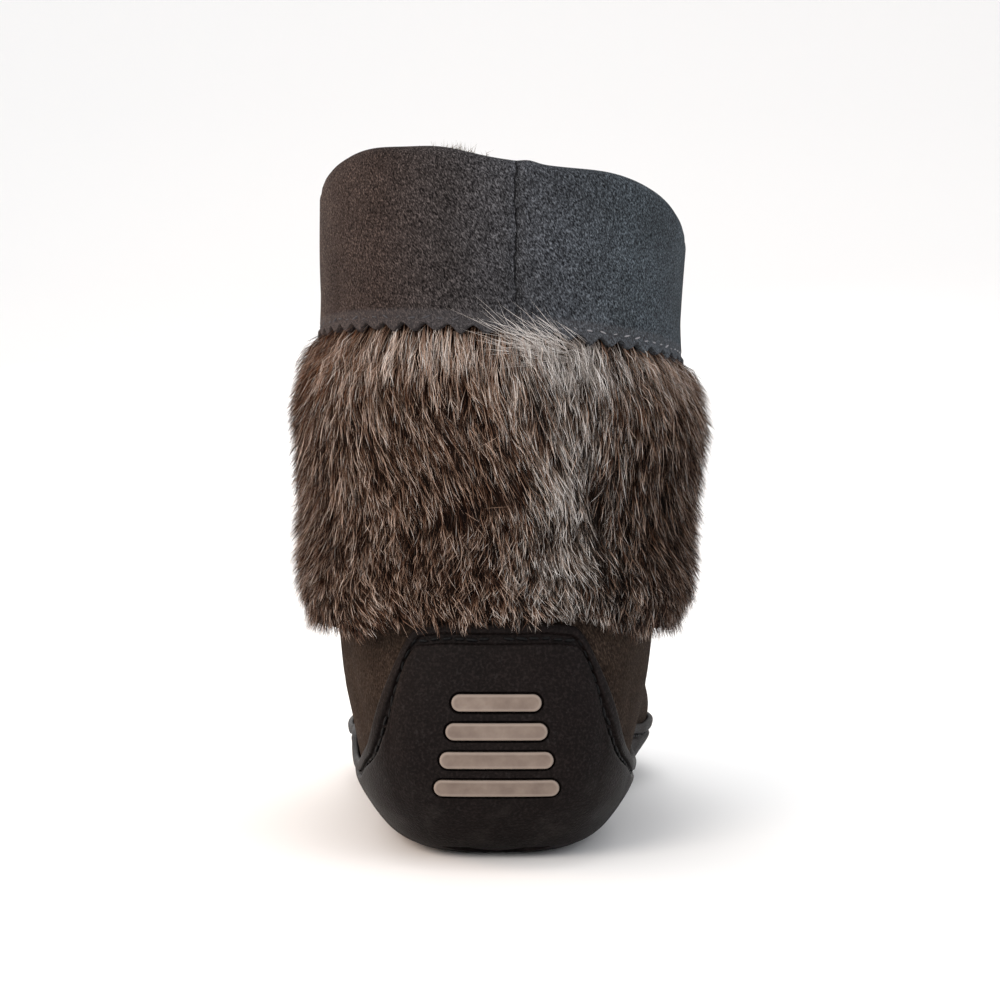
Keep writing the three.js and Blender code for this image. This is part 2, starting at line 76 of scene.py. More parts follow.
def smoothTable(columns, rows):
    table = np.array(rows, float)
    keys = table[:, 0]

    def valuesAt(at):
        at = np.clip(at, keys[0], keys[-1])
        low = np.clip(np.searchsorted(keys, at, side="right") - 1, 0, len(keys) - 2)
        high = low + 1
        before = np.where(low > 0, low - 1, high)
        after = np.where(high < len(keys) - 1, high + 1, low)
        span = keys[high] - keys[low]
        part = (at - keys[low]) / span
        slopeLow = span / 2 / (keys[low] - keys[before])
        slopeHigh = span / 2 / (keys[after] - keys[high])
        shares = (
            (before, -slopeLow * part**3 + 2 * slopeLow * part**2 - slopeLow * part),
            (low, (1 + slopeLow) * part**3 + (-1.5 - 2 * slopeLow) * part**2 + (-0.5 + slopeLow) * part + 1),
            (high, (-1 - slopeHigh) * part**3 + (1.5 + slopeHigh) * part**2 + 0.5 * part),
            (after, slopeHigh * part**3 - slopeHigh * part**2),
        )
        return {
            name: sum(table[:, i + 1][row] * share for row, share in shares)
            for i, name in enumerate(columns[1:])
        }

    return valuesAt


levelAt = smoothTable(
    ("rise", "back", "front", "half", "backHeight", "frontHeight", "foot", "vamp", "follow",
     "heelBlunt", "toeBlunt", "tilt", "lean"),
    [
        (0.00, 13.2, 261.5, 49.5, 11, 11, 1.00, 0.00, 1.0, 3.6, 2.9, 0.0, 0.0),
        (0.08, 6.2, 269.0, 54.5, 19, 19, 1.00, 0.00, 1.0, 3.7, 2.9, 0.0, 0.0),
        (0.17, 3.2, 272.5, 57.0, 31, 30, 0.95, 0.10, 0.9, 3.8, 2.9, 0.0, 0.0),
        (0.26, 3.5, 268.0, 55.5, 44, 46, 0.50, 0.45, 0.6, 3.5, 2.8, 0.0, 0.0),
        (0.34, 5.0, 254.5, 54.5, 55, 60, 0.20, 0.90, 0.3, 3.1, 2.6, 0.0, 0.0),
        (0.43, 7.0, 225.5, 54.5, 66, 73, 0.10, 1.00, 0.0, 2.8, 2.4, 0.0, 0.0),
        (0.53, 10.0, 188.5, 54.0, 80, 92, 0.00, 0.70, 0.0, 2.5, 2.2, 0.5, 0.0),
        (0.63, 12.0, 158.5, 53.5, 98, 111, 0.00, 0.20, 0.0, 2.3, 2.1, 1.5, 0.3),
        (0.73, 12.5, 145.5, 54.0, 121, 131, 0.00, 0.00, 0.0, 2.2, 2.1, 3.0, 0.8),
        (0.86, 11.0, 140.5, 55.3, 155, 153, 0.00, 0.00, 0.0, 2.2, 2.1, 4.5, 1.6),
        (1.00, 8.0, 139.5, 57.0, 205, 193, 0.00, 0.00, 0.0, 2.2, 2.1, 8.0, 2.5),
    ],
)

outlineAt = smoothTable(
    ("station", "outer", "inner", "vamp", "swing"),
    [
        (0.00, 0.77, 0.77, 1.00, 0.0),
        (0.18, 0.80, 0.79, 1.00, 0.0),
        (0.42, 0.87, 0.79, 0.98, 0.0),
        (0.66, 0.985, 1.06, 0.88, 0.0),
        (0.84, 0.93, 0.97, 0.84, 2.5),
        (1.00, 0.84, 0.88, 0.86, 8.0),
    ],
)

rubberEdgeAt = smoothTable(
    ("degrees", "height"),
    [(0, 70), (12, 69.5), (17, 67), (20.5, 54.5), (24.5, 43), (29, 35.5), (35, 31), (43, 26.5), (55, 24),
     (75, 23), (120, 23), (155, 26), (180, 28)],
)

seamAt = smoothTable(
    ("degrees", "share", "ridge"),
    [(0, 0.5, 0), (70, 0.6, 0), (100, 0.9, 0.6), (125, 0.74, 2), (150, 0.52, 2), (180, 0.44, 2)],
)

furLoftAt = smoothTable(
    ("share", "back", "sides"),
    [(0, 5.5, 8.5), (0.15, 8, 11.5), (0.5, 7.5, 11), (0.92, 7, 9), (1, 3, 3)],
)

featherLevel = levelAt(0.0)


def underside(y):
    arch = np.maximum(0, 1 - ((y - boot["archMiddle"]) / boot["archHalf"]) ** 2)
    toe = np.maximum(0, (y - boot["springStart"]) / (boot["soleLength"] - boot["springStart"]))
    return boot["archRise"] * arch**2 + boot["springRise"] * toe**2


# A point of a level: turn runs from the heel round the inner side to the toe and back along the outer side
def levelPoint(turn, level):
    along = np.cos(turn)
    station = (1 - along) / 2
    blunt = mix(level["heelBlunt"], level["toeBlunt"], station)
    flat = np.maximum(0, 1 - np.abs(along) ** blunt)
    side = flat ** (1 / blunt) * np.sign(np.sin(turn))
    shape = outlineAt(station)
    footShare = mix(1, np.where(side > 0, shape["inner"], shape["outer"]), level["foot"])
    half = level["half"] * footShare * mix(1, shape["vamp"], level["vamp"])
    swing = shape["swing"] * np.maximum(level["foot"], level["vamp"] / 2)
    y = mix(level["back"], level["front"], station)
    height = mix(level["backHeight"], level["frontHeight"], station)
    z = height + level["follow"] * underside(y) - level["tilt"] * side
    return np.stack([half * side + swing + level["lean"], y, z], axis=-1)


def skinFrame(turn, rise):
    turn, rise = np.broadcast_arrays(np.asarray(turn, float), np.asarray(rise, float))
    step = boot["step"]
    across = levelPoint(turn + step, levelAt(rise)) - levelPoint(turn - step, levelAt(rise))
    up = levelPoint(turn, levelAt(rise + step)) - levelPoint(turn, levelAt(rise - step))
    return levelPoint(turn, levelAt(rise)), unit(np.cross(across, up))


def skin(turn, rise, offset=0.0):
    point, normal = skinFrame(turn, rise)
    return point + normal * np.asarray(offset, float)[..., None]


def riseAtHeight(turn, height):
    low = np.zeros_like(turn)
    high = np.ones_like(turn)
    for _ in range(16):
        middle = (low + high) / 2
        below = levelPoint(turn, levelAt(middle))[..., 2] < height
        low = np.where(below, middle, low)
        high = np.where(below, high, middle)
    return (low + high) / 2


def degreesFromHeel(turn):
    return np.degrees(np.arccos(np.clip(np.cos(turn), -1, 1)))


def rubberEdge(turn):
    feather = levelPoint(turn, featherLevel)
    return rubberEdgeAt(degreesFromHeel(turn))["height"] + underside(feather[..., 1])


# The line that runs inset below the rubber's edge, measured square to that edge
def rubberRise(turn, inset=0.0):
    step = boot["step"]
    level = levelAt(boot["wallMiddle"])
    run = levelPoint(turn + step, level) - levelPoint(turn - step, level)
    slope = (rubberEdge(turn + step) - rubberEdge(turn - step)) / np.hypot(run[..., 0], run[..., 1])
    return riseAtHeight(turn, rubberEdge(turn) - inset * np.hypot(1, slope))


def hemRise(turn):
    degrees = degreesFromHeel(turn)
    heel, back, sides, front = boot["hemDegrees"]
    atBack = mix(boot["hemHeel"], boot["hemBack"], ease(heel, back, degrees))
    return mix(atBack, boot["hemFront"], ease(sides, front, degrees))


def seamRise(turn):
    return mix(rubberRise(turn), hemRise(turn), seamAt(degreesFromHeel(turn))["share"])


def furRise(turn, share):
    return mix(hemRise(turn), boot["furTop"], share)


def furLoft(turn, share):
    loft = furLoftAt(share)
    return mix(loft["back"], loft["sides"], np.sin(turn) ** 2)


# Turns that lie evenly along a line round the boot, from the heel back to the heel
def spacedTurns(path, count=None, pitch=None, end=2 * math.pi):
    fine = np.linspace(0, end, 6001)
    steps = np.linalg.norm(np.diff(path(fine), axis=0), axis=1)
    length = np.concatenate([[0], np.cumsum(steps)])
    count = count or round(length[-1] / pitch)
    return np.interp(np.linspace(0, length[-1], count + 1), length, fine)


def ringTurns(count, rise, end=2 * math.pi):
    return spacedTurns(lambda turn: skin(turn, rise), count=count, end=end)


# The same turns on both sides, so that a face that closes on the middle line closes without a slit
def mirroredTurns(count, rise):
    half = ringTurns(count // 2, rise, math.pi)
    return np.concatenate([half, 2 * math.pi - half[-2::-1]])


# Mesh helpers
def deselectAll():
    if bpy.context.object and bpy.context.object.mode != "OBJECT":
        bpy.ops.object.mode_set(mode="OBJECT")
    bpy.ops.object.select_all(action="DESELECT")


def activate(piece, *others):
    deselectAll()
    for one in (piece, *others):
        one.select_set(True)
    bpy.context.view_layer.objects.active = piece


def readPoints(piece):
    points = np.empty(len(piece.data.vertices) * 3)
    piece.data.vertices.foreach_get("co", points)
    return points.reshape(-1, 3)


# The sole's settings stand up here because its back sets the boot's own zero in the frame
sole = {
    "columns": 300, "ring": 0.12, "panelOffset": 3.2, "panelShares": (0, 0.25, 0.5, 0.75), "lipInset": 4.9,
    "groundGrow": -14, "groundShares": (0, 0.3, 0.6, 0.85, 1),
    # how far the outline grows and how high it lies, round the edge of the underside
    "underRows": ((-11, 0.5), (-8, 1.3), (-5, 2.5), (-2.5, 3.8), (-0.2, 5.6), (2, 8)),
    "panelRows": (0.06, 0.2, 0.34, 0.48, 0.62, 0.76, 0.88),
    # inset below the rubber's edge, offset from the skin, share of the groove's widening
    "wallRows": ((6.4, 3.2, 1), (5.3, 3.2, 1), (4.9, 2.9, 1), (4.6, 1.6, 1), (4.4, 1.4, 1), (3.4, 1.4, 0),
                 (3.2, 1.6, 0), (3, 2.6, 0), (2.7, 2.8, 0), (0.9, 2.7, 0), (0.25, 2.4, 0), (0, 1.7, 0),
                 (0, 0.5, 0), (0.3, 0.3, 0)),
    "seatShares": (0.68, 0.35, 0.12, 0), "floorShares": (0.9, 0.6, 0.3, 0),
    "grooveTopWiden": 1.2, "grooveTopDegrees": (12, 22), "smoothDegrees": 38,
    "stitchInset": 3.9, "stitchOut": 1.75, "stitchPitch": 3.6, "stitch": (3.0, 0.9, 0.9),
    "stitchStray": (0.12, 0.08, 0.1), "stitchFrom": 0, "stitchSeed": 5,
    "treadDepth": 3.5, "treadWidth": 5, "treadPitch": 18, "treadSweep": 0.4, "treadReach": 75,
    "treadRows": ((20, 3), (148, 6)), "pocketDepth": 1.6, "pocketMargin": 0.7,
}

# The boot's own zero in the frame: across from the lowest heel bar, along from the back of the sole
heelLine = np.zeros(len(sole["panelShares"]))
heelRises = np.array(sole["panelShares"]) * rubberRise(heelLine, sole["lipInset"])
rearOfSole = skin(heelLine, heelRises, sole["panelOffset"])[:, 1].min()
barLow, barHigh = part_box("heel_inlay_1")
soleLow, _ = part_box("outsole")
shift = np.array([(barLow.x + barHigh.x) / 2 / mm, soleLow.y / mm - rearOfSole, 0])
print("boot's zero in the frame, mm:", shift.round(3))


def writePoints(piece, points):
    piece.data.vertices.foreach_set("co", ((points + shift) * mm).ravel())
    piece.data.update()


def mergeDoubles(piece):
    activate(piece)
    bpy.ops.object.mode_set(mode="EDIT")
    bpy.ops.mesh.select_all(action="SELECT")
    bpy.ops.mesh.remove_doubles(threshold=2e-6)
    bpy.ops.mesh.normals_make_consistent(inside=False)
    bpy.ops.object.mode_set(mode="OBJECT")
    bpy.ops.object.shade_smooth()


# A grid wrapped round the boot: one column for each turn, one row for each line of the section
def addBand(name, columns, rows):
    deselectAll()
    across, up = len(columns) - 1, len(rows) - 1
    bpy.ops.mesh.primitive_grid_add(x_subdivisions=across, y_subdivisions=up, size=1)
    piece = bpy.context.object
    piece.name = piece.data.name = name
    flat = readPoints(piece)
    column = np.rint((flat[:, 0] + 0.5) * across).astype(int)
    row = np.rint((flat[:, 1] + 0.5) * up).astype(int)
    surface = np.stack([makeRow(columns) for makeRow in rows])
    writePoints(piece, surface[row, column])
    mergeDoubles(piece)
    return piece


def applyModifier(piece, kind, **settings):
    activate(piece)
    modifier = piece.modifiers.new(kind.lower(), kind)
    for name, value in settings.items():
        setattr(modifier, name, value)
    bpy.ops.object.modifier_apply(modifier=modifier.name)


def smoothOut(piece, levels=1):
    applyModifier(piece, "SUBSURF", levels=levels, render_levels=levels)


def joinInto(target, others):
    activate(target, *others)
    bpy.ops.object.join()


# Many small things as one mesh: corners is things x corners x 3 and faces index a thing's own corners
def addJoined(name, corners, faces):
    things, each = corners.shape[:2]
    loops = np.concatenate([np.array(face) for face in faces])
    sizes = np.array([len(face) for face in faces])
    starts = np.concatenate([[0], np.cumsum(np.tile(sizes, things))[:-1]])
    everyLoop = (np.arange(things)[:, None] * each + loops).ravel()
    mesh = bpy.data.meshes.new(name)
    mesh.vertices.add(things * each)
    mesh.vertices.foreach_set("co", ((corners + shift) * mm).ravel())
    mesh.loops.add(len(everyLoop))
    mesh.loops.foreach_set("vertex_index", everyLoop.astype(np.int32))
    mesh.polygons.add(len(starts))
    mesh.polygons.foreach_set("loop_start", starts.astype(np.int32))
    mesh.update(calc_edges=True)
    mesh.validate()
    piece = bpy.data.objects.new(name, mesh)
    bpy.context.scene.collection.objects.link(piece)
    return piece


def finishPiece(piece, material, slot, *replaced):
    piece.data.materials.clear()
    piece.data.materials.append(material)
    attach(piece, "root")
    if replaced:
        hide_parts(*replaced)
    print(f"{piece.name}: {len(piece.data.polygons)} faces")
    return piece


# Material helpers
def toLinear(hexColour):
    channels = [int(hexColour[i:i + 2], 16) / 255 for i in (1, 3, 5)]
    return [tone / 12.92 if tone <= 0.04045 else ((tone + 0.055) / 1.055) ** 2.4 for tone in channels] + [1.0]


# Adds a node. An input is a number, a colour, an output, or a node whose result is linked.
def addNode(tree, kind, inputs=None, stops=None, **settings):
    node = tree.nodes.new("ShaderNode" + kind)
    for name, value in settings.items():
        setattr(node, name, value)
    for name, value in (inputs or {}).items():
        if isinstance(value, bpy.types.Node):
            value = value.outputs[2 if getattr(value, "data_type", "") == "RGBA" else 0]
        if isinstance(value, bpy.types.NodeSocket):
            tree.links.new(value, node.inputs[name])
        else:
            node.inputs[name].default_value = toLinear(value) if isinstance(value, str) else value
    if stops:
        elements = node.color_ramp.elements
        while len(elements) < len(stops):
            elements.new(0.5)
        for element, (position, colour) in zip(elements, stops):
            element.position = position
            element.color = toLinear(colour) if isinstance(colour, str) else [colour] * 3 + [1]
    return node


def newMaterial(name):
    material = bpy.data.materials.new(name)
    material.use_nodes = True
    material.node_tree.nodes.clear()
    return material, partial(addNode, material.node_tree)


def perMetre(sizeInMm):
    return 1 / (sizeInMm * mm)


# Moulded rubber, matt from the mould: a pebbled grain, dust that stays in its pores, grey rubs low down
def mouldedRubber():
    material, add = newMaterial("moulded black rubber")
    place = add("TexCoord").outputs["Object"]
    pores = add("TexNoise", {"Vector": place, "Scale": perMetre(0.8), "Detail": 4.0})
    grain = add("ValToRGB", {"Fac": pores}, [(0.36, "#070504"), (0.5, "#130f0e"), (0.64, "#272120")])
    cloud = add("TexNoise", {"Vector": place, "Scale": perMetre(28), "Detail": 5.0, "Roughness": 0.62,
                             "Distortion": 0.6})
    tint = add("ValToRGB", {"Fac": cloud}, [(0.3, "#0d0908"), (0.55, "#130e0d"), (0.78, "#1c1716")])
    grained = add("Mix", {0: 0.42, 6: tint, 7: grain}, data_type="RGBA")
    specks = add("TexNoise", {"Vector": place, "Scale": perMetre(1.6), "Detail": 2.0})
    dust = add("ValToRGB", {"Fac": specks}, [(0.62, 0.0), (0.8, 0.35)])
    dusted = add("Mix", {0: dust, 6: grained, 7: "#2b2929"}, data_type="RGBA")
    height = add("SeparateXYZ", {"Vector": place}).outputs["Z"]
    low = add("MapRange", {"Value": height, "From Max": 30 * mm, "To Min": 1.0, "To Max": 0.0})
    rubs = add("TexNoise", {"Vector": place, "Scale": perMetre(9), "Detail": 6.0, "Roughness": 0.7})
    rubbed = add("ValToRGB", {"Fac": rubs}, [(0.52, 0.0), (0.7, 0.6)])
    share = add("Math", {0: rubbed, 1: low}, operation="MULTIPLY")
    worn = add("Mix", {0: share, 6: dusted, 7: "#332f2d"}, data_type="RGBA")
    gloss = add("MapRange", {"Value": cloud, "From Min": 0.3, "From Max": 0.8, "To Min": 0.46,
                             "To Max": 0.68})
    relief = add("Bump", {"Height": pores, "Strength": 0.8, "Distance": 0.3 * mm})
    shader = add("BsdfPrincipled", {"Base Color": worn, "Normal": relief, "Roughness": gloss,
                                    "Specular IOR Level": 0.06})
    add("OutputMaterial", {"Surface": shader})
    return material


# Tan rubber let into the heel: chalky, paler along its rounded edges, as rubbed wear and as a painted
# highlight
def tanRubber():
    material, add = newMaterial("moulded tan rubber")
    coordinates = add("TexCoord").outputs
    place = coordinates["Object"]
    cloud = add("TexNoise", {"Vector": place, "Scale": perMetre(6), "Detail": 6.0, "Roughness": 0.6})
    tint = add("ValToRGB", {"Fac": cloud}, [(0.3, "#695b52"), (0.55, "#786a60"), (0.75, "#84776d")])
    rim = add("SeparateXYZ", {"Vector": coordinates["UV"]}).outputs["Y"]
    # the bars' rounded top edges are paler: rubbed wear together with a painted highlight
    edge = add("ValToRGB", {"Fac": rim}, [(0.2, 0.0), (0.36, 0.55), (0.55, 0.45), (0.75, 0.0)])
    rubbed = add("Mix", {0: edge, 6: tint, 7: "#978a7f"}, data_type="RGBA")
    grit = add("TexNoise", {"Vector": place, "Scale": perMetre(0.5)})
    relief = add("Bump", {"Height": grit, "Strength": 0.25, "Distance": 0.1 * mm})
    shader = add("BsdfPrincipled", {"Base Color": rubbed, "Normal": relief, "Roughness": 0.62,
                                    "Specular IOR Level": 0.3})
    add("OutputMaterial", {"Surface": shader})
    return material


# Suede, the brushed flesh side of a hide: no gloss, a short nap in worm-like flecks that lie aslant, darker
# where it is rubbed. The cuff's colour has painted light: warm on the left of its back and cool on the right,
# evening out to the front. The band along its edge shows, and its back seam shows with a painted highlight on
# its left lip.
def brushedSuede(name, shades, fleck, marksAndPaintedLight=None):
    material, add = newMaterial(name)
    place = add("TexCoord").outputs["Object"]
    slanted = add("Mapping", {"Vector": place, "Rotation": (0.0, math.radians(-28), 0.0),
                              "Scale": (1.0, 1.0, 2.3)}, vector_type="TEXTURE")
    worms = add("TexNoise", {"Vector": slanted, "Scale": perMetre(fleck), "Detail": 1.5, "Roughness": 0.5,
                             "Distortion": 0.5})
    clumps = add("TexNoise", {"Vector": slanted, "Scale": perMetre(fleck * 2.6), "Detail": 2.0,
                              "Distortion": 0.6})
    nap = add("Mix", {0: 0.14, 2: worms, 3: clumps})
    tint = add("ValToRGB", {"Fac": nap}, [(0.36, shades["deep"]), (0.47, shades["body"]),
                                          (0.56, shades["nap"]), (0.68, shades["fleck"])])
    cloud = add("TexNoise", {"Vector": place, "Scale": perMetre(24), "Detail": 4.0, "Roughness": 0.6,
                             "Distortion": 0.8})
    rubbed = add("MapRange", {"Value": cloud, "From Min": 0.35, "From Max": 0.7, "To Max": 0.55})
    colour = add("Mix", {0: rubbed, 6: tint, 7: shades["worn"]}, data_type="RGBA", blend_type="MULTIPLY")
    height = nap
    if marksAndPaintedLight:
        # painted light: the cuff's back is tinted warm on the left and cool on the right, evening out towards
        # the front
        half, (evenFrom, evenTo) = marksAndPaintedLight["paintedLightHalf"], marksAndPaintedLight["evenOut"]
        spot = add("SeparateXYZ", {"Vector": place}).outputs
        side = add("MapRange", {"Value": spot["X"], "From Min": -half * mm, "From Max": half * mm})
        paintedLightTint = add("ValToRGB", {"Fac": side}, [((x + half) / (2 * half), tone) for x, tone in marksAndPaintedLight["paintedLightTints"]])
        ahead = add("MapRange", {"Value": spot["Y"], "From Min": evenFrom * mm, "From Max": evenTo * mm})
        even = add("Mix", {0: ahead, 6: paintedLightTint, 7: marksAndPaintedLight["even"]}, data_type="RGBA")
        paintedLightTinted = add("Mix", {0: 1.0, 6: colour, 7: even}, data_type="RGBA", blend_type="MULTIPLY")
        above = add("Attribute", attribute_name="aboveEdge").outputs["Fac"]
        band = add("MapRange", {"Value": above, "From Min": marksAndPaintedLight["bandTop"] - 0.7,
                                "From Max": marksAndPaintedLight["bandTop"] + 0.5, "To Min": 0.26, "To Max": 0.0})
        felted = add("Mix", {0: band, 6: paintedLightTinted, 7: marksAndPaintedLight["band"]}, data_type="RGBA")
        away = add("Attribute", attribute_name="fromSeam").outputs["Fac"]
        beside = add("MapRange", {"Value": away, "From Min": -3.0, "From Max": 3.0})
        # the seam: a painted highlight on the lip to its left, and a dark line along the seam
        seam = add("ValToRGB", {"Fac": beside}, [(0.2, 0.5), (0.36, 0.6), (0.45, 0.68), (0.485, 0.12),
                                                 (0.53, 0.12), (0.58, 0.42), (0.8, 0.5)])
        fade = add("MapRange", {"Value": above, "From Min": 5.0, "From Max": 15.0, "To Min": 0.25,
                                "To Max": 0.9})
        colour = add("Mix", {0: fade, 6: felted, 7: seam}, data_type="RGBA", blend_type="OVERLAY")
        height = add("Math", {0: nap, 1: seam}, operation="ADD")
    relief = add("Bump", {"Height": height, "Strength": 1.0, "Distance": 0.8 * mm})
    shader = add("BsdfPrincipled", {"Base Color": colour, "Normal": relief, "Roughness": 0.95,
                                    "Specular IOR Level": 0.04, "Sheen Weight": 0.06, "Sheen Roughness": 0.4,
                                    "Sheen Tint": shades["sheen"]})
    add("OutputMaterial", {"Surface": shader})
    return material


# Strands of hair or wool: u is the tone of a strand and v runs from its root to its tip
def looseStrands(name, tones, shades, roughness, specular):
    material, add = newMaterial(name)
    along = add("SeparateXYZ", {"Vector": add("UVMap", uv_map="OFBake")}).outputs
    tone = add("ValToRGB", {"Fac": along["X"]}, tones)
    shade = add("ValToRGB", {"Fac": along["Y"]}, shades)
    colour = add("Mix", {0: 1.0, 6: tone, 7: shade}, data_type="RGBA", blend_type="MULTIPLY")
    shader = add("BsdfPrincipled", {"Base Color": colour, "Roughness": roughness,
                                    "Specular IOR Level": specular})
    add("OutputMaterial", {"Surface": shader})
    return material


# Dark underfur and hide that show between the hairs; their near-black is also painted shade deep among the
# hairs
def underfur():
    material, add = newMaterial("dark underfur and painted shade")
    place = add("TexCoord").outputs["Object"]
    streak = add("Mapping", {"Vector": place, "Scale": (1.0, 1.0, 0.12)})
    hairs = add("TexNoise", {"Vector": streak, "Scale": perMetre(0.8), "Detail": 3.0})
    tint = add("ValToRGB", {"Fac": hairs}, [(0.3, "#0a0503"), (0.6, "#180d08"), (0.8, "#2b1a11")])
    relief = add("Bump", {"Height": hairs, "Strength": 0.6, "Distance": 0.6 * mm})
    shader = add("BsdfPrincipled", {"Base Color": tint, "Normal": relief, "Roughness": 0.95,
                                    "Specular IOR Level": 0.02})
    add("OutputMaterial", {"Surface": shader})
    return material


# Waxed thread: twisted strands with a dull gloss
def waxedThread(name, dark, light, paleOnInner=None):
    material, add = newMaterial(name)
    place = add("TexCoord").outputs["Object"]
    twist = add("TexNoise", {"Vector": place, "Scale": perMetre(0.5), "Detail": 2.0})
    colour = add("ValToRGB", {"Fac": twist}, [(0.35, dark), (0.65, light)])
    if paleOnInner:
        across = add("SeparateXYZ", {"Vector": place}).outputs["X"]
        side = add("MapRange", {"Value": across, "From Min": 8 * mm, "From Max": 24 * mm})
        colour = add("Mix", {0: side, 6: colour, 7: paleOnInner}, data_type="RGBA")
    relief = add("Bump", {"Height": twist, "Strength": 0.5, "Distance": 0.15 * mm})
    shader = add("BsdfPrincipled", {"Base Color": colour, "Normal": relief, "Roughness": 0.6,
                                    "Specular IOR Level": 0.12})
    add("OutputMaterial", {"Surface": shader})
    return material


# Sheepskin fleece: curled wool pile, warm grey, with painted shade in the dips between the curls
def woolFleece():
    material, add = newMaterial("wool fleece")
    place = add("TexCoord").outputs["Object"]
    curls = add("TexNoise", {"Vector": place, "Scale": perMetre(2.2), "Detail": 4.0, "Distortion": 1.6})
    # the curls' low parts, from the same noise as the bump, are painted darker: painted shade
    tint = add("ValToRGB", {"Fac": curls}, [(0.3, "#6f675d"), (0.5, "#a89f93"), (0.7, "#cfc7bc")])
    relief = add("Bump", {"Height": curls, "Strength": 0.8, "Distance": 1.2 * mm})
    shader = add("BsdfPrincipled", {"Base Color": tint, "Normal": relief, "Roughness": 1.0,
                                    "Specular IOR Level": 0.1, "Sheen Weight": 0.3})
    add("OutputMaterial", {"Surface": shader})
    return material


blackRubber = mouldedRubber()
trimRubber = tanRubber()
brownShades = {"deep": "#201915", "body": "#2f2620", "nap": "#392f28", "fleck": "#493d35", "worn": "#80776e",
               "sheen": "#8a7767"}
greyShades = {"deep": "#1b1a1c", "body": "#403f41", "nap": "#535255", "fleck": "#7e7d80", "worn": "#a39f9a",
              "sheen": "#9a9aa0"}
# painted light: warm and cool tints by millimetres to the right, and where along the boot they even out, in
# the frame
cuffMarksAndPaintedLight = {
    "paintedLightTints": ((-57, "#f2d8c5"), (-50, "#d6bcab"), (-36, "#c4ad9f"), (-12, "#d2ccc8"), (18, "#e6f3fb"),
             (40, "#e0f5fc")),
    "paintedLightHalf": 60, "evenOut": (-78, -40), "even": "#d8d8d8", "bandTop": 5.2, "band": "#565456",
}
footSuede = brushedSuede("brushed brown suede", brownShades, 0.5)
cuffSuede = brushedSuede("brushed charcoal suede", greyShades, 0.37, cuffMarksAndPaintedLight)
# Rabbit hair, drawn about three times as thick as a real one: russet up to 0.1, warm brown from 0.12 to 0.54
# and grey from 0.58 to 1, the brown and the grey each from dark to pale; a dark root and a paler end
hair = looseStrands(
    "rabbit hair",
    [(0.0, "#865a3f"), (0.1, "#6b4730"), (0.12, "#120a06"), (0.25, "#3a261b"), (0.33, "#6d5242"),
     (0.41, "#9e8574"), (0.48, "#c4ad9d"), (0.54, "#dfd1c6"), (0.58, "#0f0c0a"), (0.71, "#342e29"),
     (0.79, "#625a53"), (0.87, "#958d87"), (0.94, "#bdb7b2"), (1.0, "#e2deda")],
    [(0.0, "#251610"), (0.42, "#543c30"), (0.64, "#b8a89c"), (0.82, "#ffffff"), (1.0, "#faf8f7")],
    0.6, 0.06,
)
pelt = underfur()
blackThread = waxedThread("black waxed thread", "#080808", "#171718")
greyThread = waxedThread("grey thread", "#39383a", "#4e4d50", "#88878a")
brownThread = waxedThread("brown thread", "#241e1a", "#4c433c")
fleece = woolFleece()
# Loose wool of the fleece, shaded towards its root
looseWool = looseStrands("wool strands", [(0.0, "#6d655b"), (0.5, "#9d9488"), (1.0, "#c4bcb1")],
                         [(0.0, 0.3), (0.7, 1.0)], 1.0, 0.1)
print("materials made")


# Rubber cup sole: lip, stitched groove, panel, rounded edge and underside, then inside the cup to its floor.
# The groove is wider along the top of the heel panel.
def grooveWiden(turn):
    return sole["grooveTopWiden"] * (1 - ease(*sole["grooveTopDegrees"], degreesFromHeel(turn)))


def wallRow(inset, offset, widen):
    return lambda turn: skin(turn, rubberRise(turn, inset + widen * grooveWiden(turn)), offset)


def underRow(grow, lift, share=1.0):
    def row(turn):
        level = {**featherLevel, "back": featherLevel["back"] - grow, "front": featherLevel["front"] + grow,
                 "half": featherLevel["half"] + grow}
        point = levelPoint(turn, level)
        middle = levelPoint(turn, {**level, "half": 0})
        point[..., 0] = mix(middle[..., 0], point[..., 0], share)
        point[..., 2] = underside(point[..., 1]) + lift
        return point
    return row


def panelRow(share):
    return lambda turn: skin(turn, share * rubberRise(turn, sole["lipInset"]), sole["panelOffset"])


def seatRow(share):
    return lambda turn: skin(turn, share * rubberRise(turn), boot["gap"])


def floorRow(share):
    def row(turn):
        point = mix(levelPoint(turn, {**featherLevel, "half": 0}), skin(turn, 0.0, boot["gap"]), share)
        point[..., 2] = boot["soleThickness"] + underside(point[..., 1])
        return point
    return row


soleRows = [
    *(underRow(sole["groundGrow"], 0, share) for share in sole["groundShares"]),
    *(underRow(grow, lift) for grow, lift in sole["underRows"]),
    *(panelRow(share) for share in sole["panelRows"]),
    *(wallRow(*line) for line in sole["wallRows"]),
    *(seatRow(share) for share in sole["seatShares"]),
    *(floorRow(share) for share in sole["floorShares"]),
]
rubberSole = addBand("rubber_sole", mirroredTurns(sole["columns"], sole["ring"]), soleRows)
smoothOut(rubberSole)

# Heel bars and their pockets: round-ended outlines laid on the panel, seen straight from behind
bars = {"count": 4, "lowest": 23.3, "pitch": 8.2, "height": 4.8, "longest": 36, "taper": 3.4, "proud": 0.5}


def stadium(half, radius):
    straight = half - radius
    ends = np.linspace(-math.pi / 2, math.pi / 2, 19)
    top = np.linspace(straight, -straight, 17)[1:-1]
    x = np.concatenate([straight + radius * np.cos(ends), top, -straight - radius * np.cos(ends), -top])
    z = np.concatenate([radius * np.sin(ends), np.full_like(top, radius), -radius * np.sin(ends),
                        np.full_like(top, -radius)])
    return np.append(x, x[0]), np.append(z, z[0])


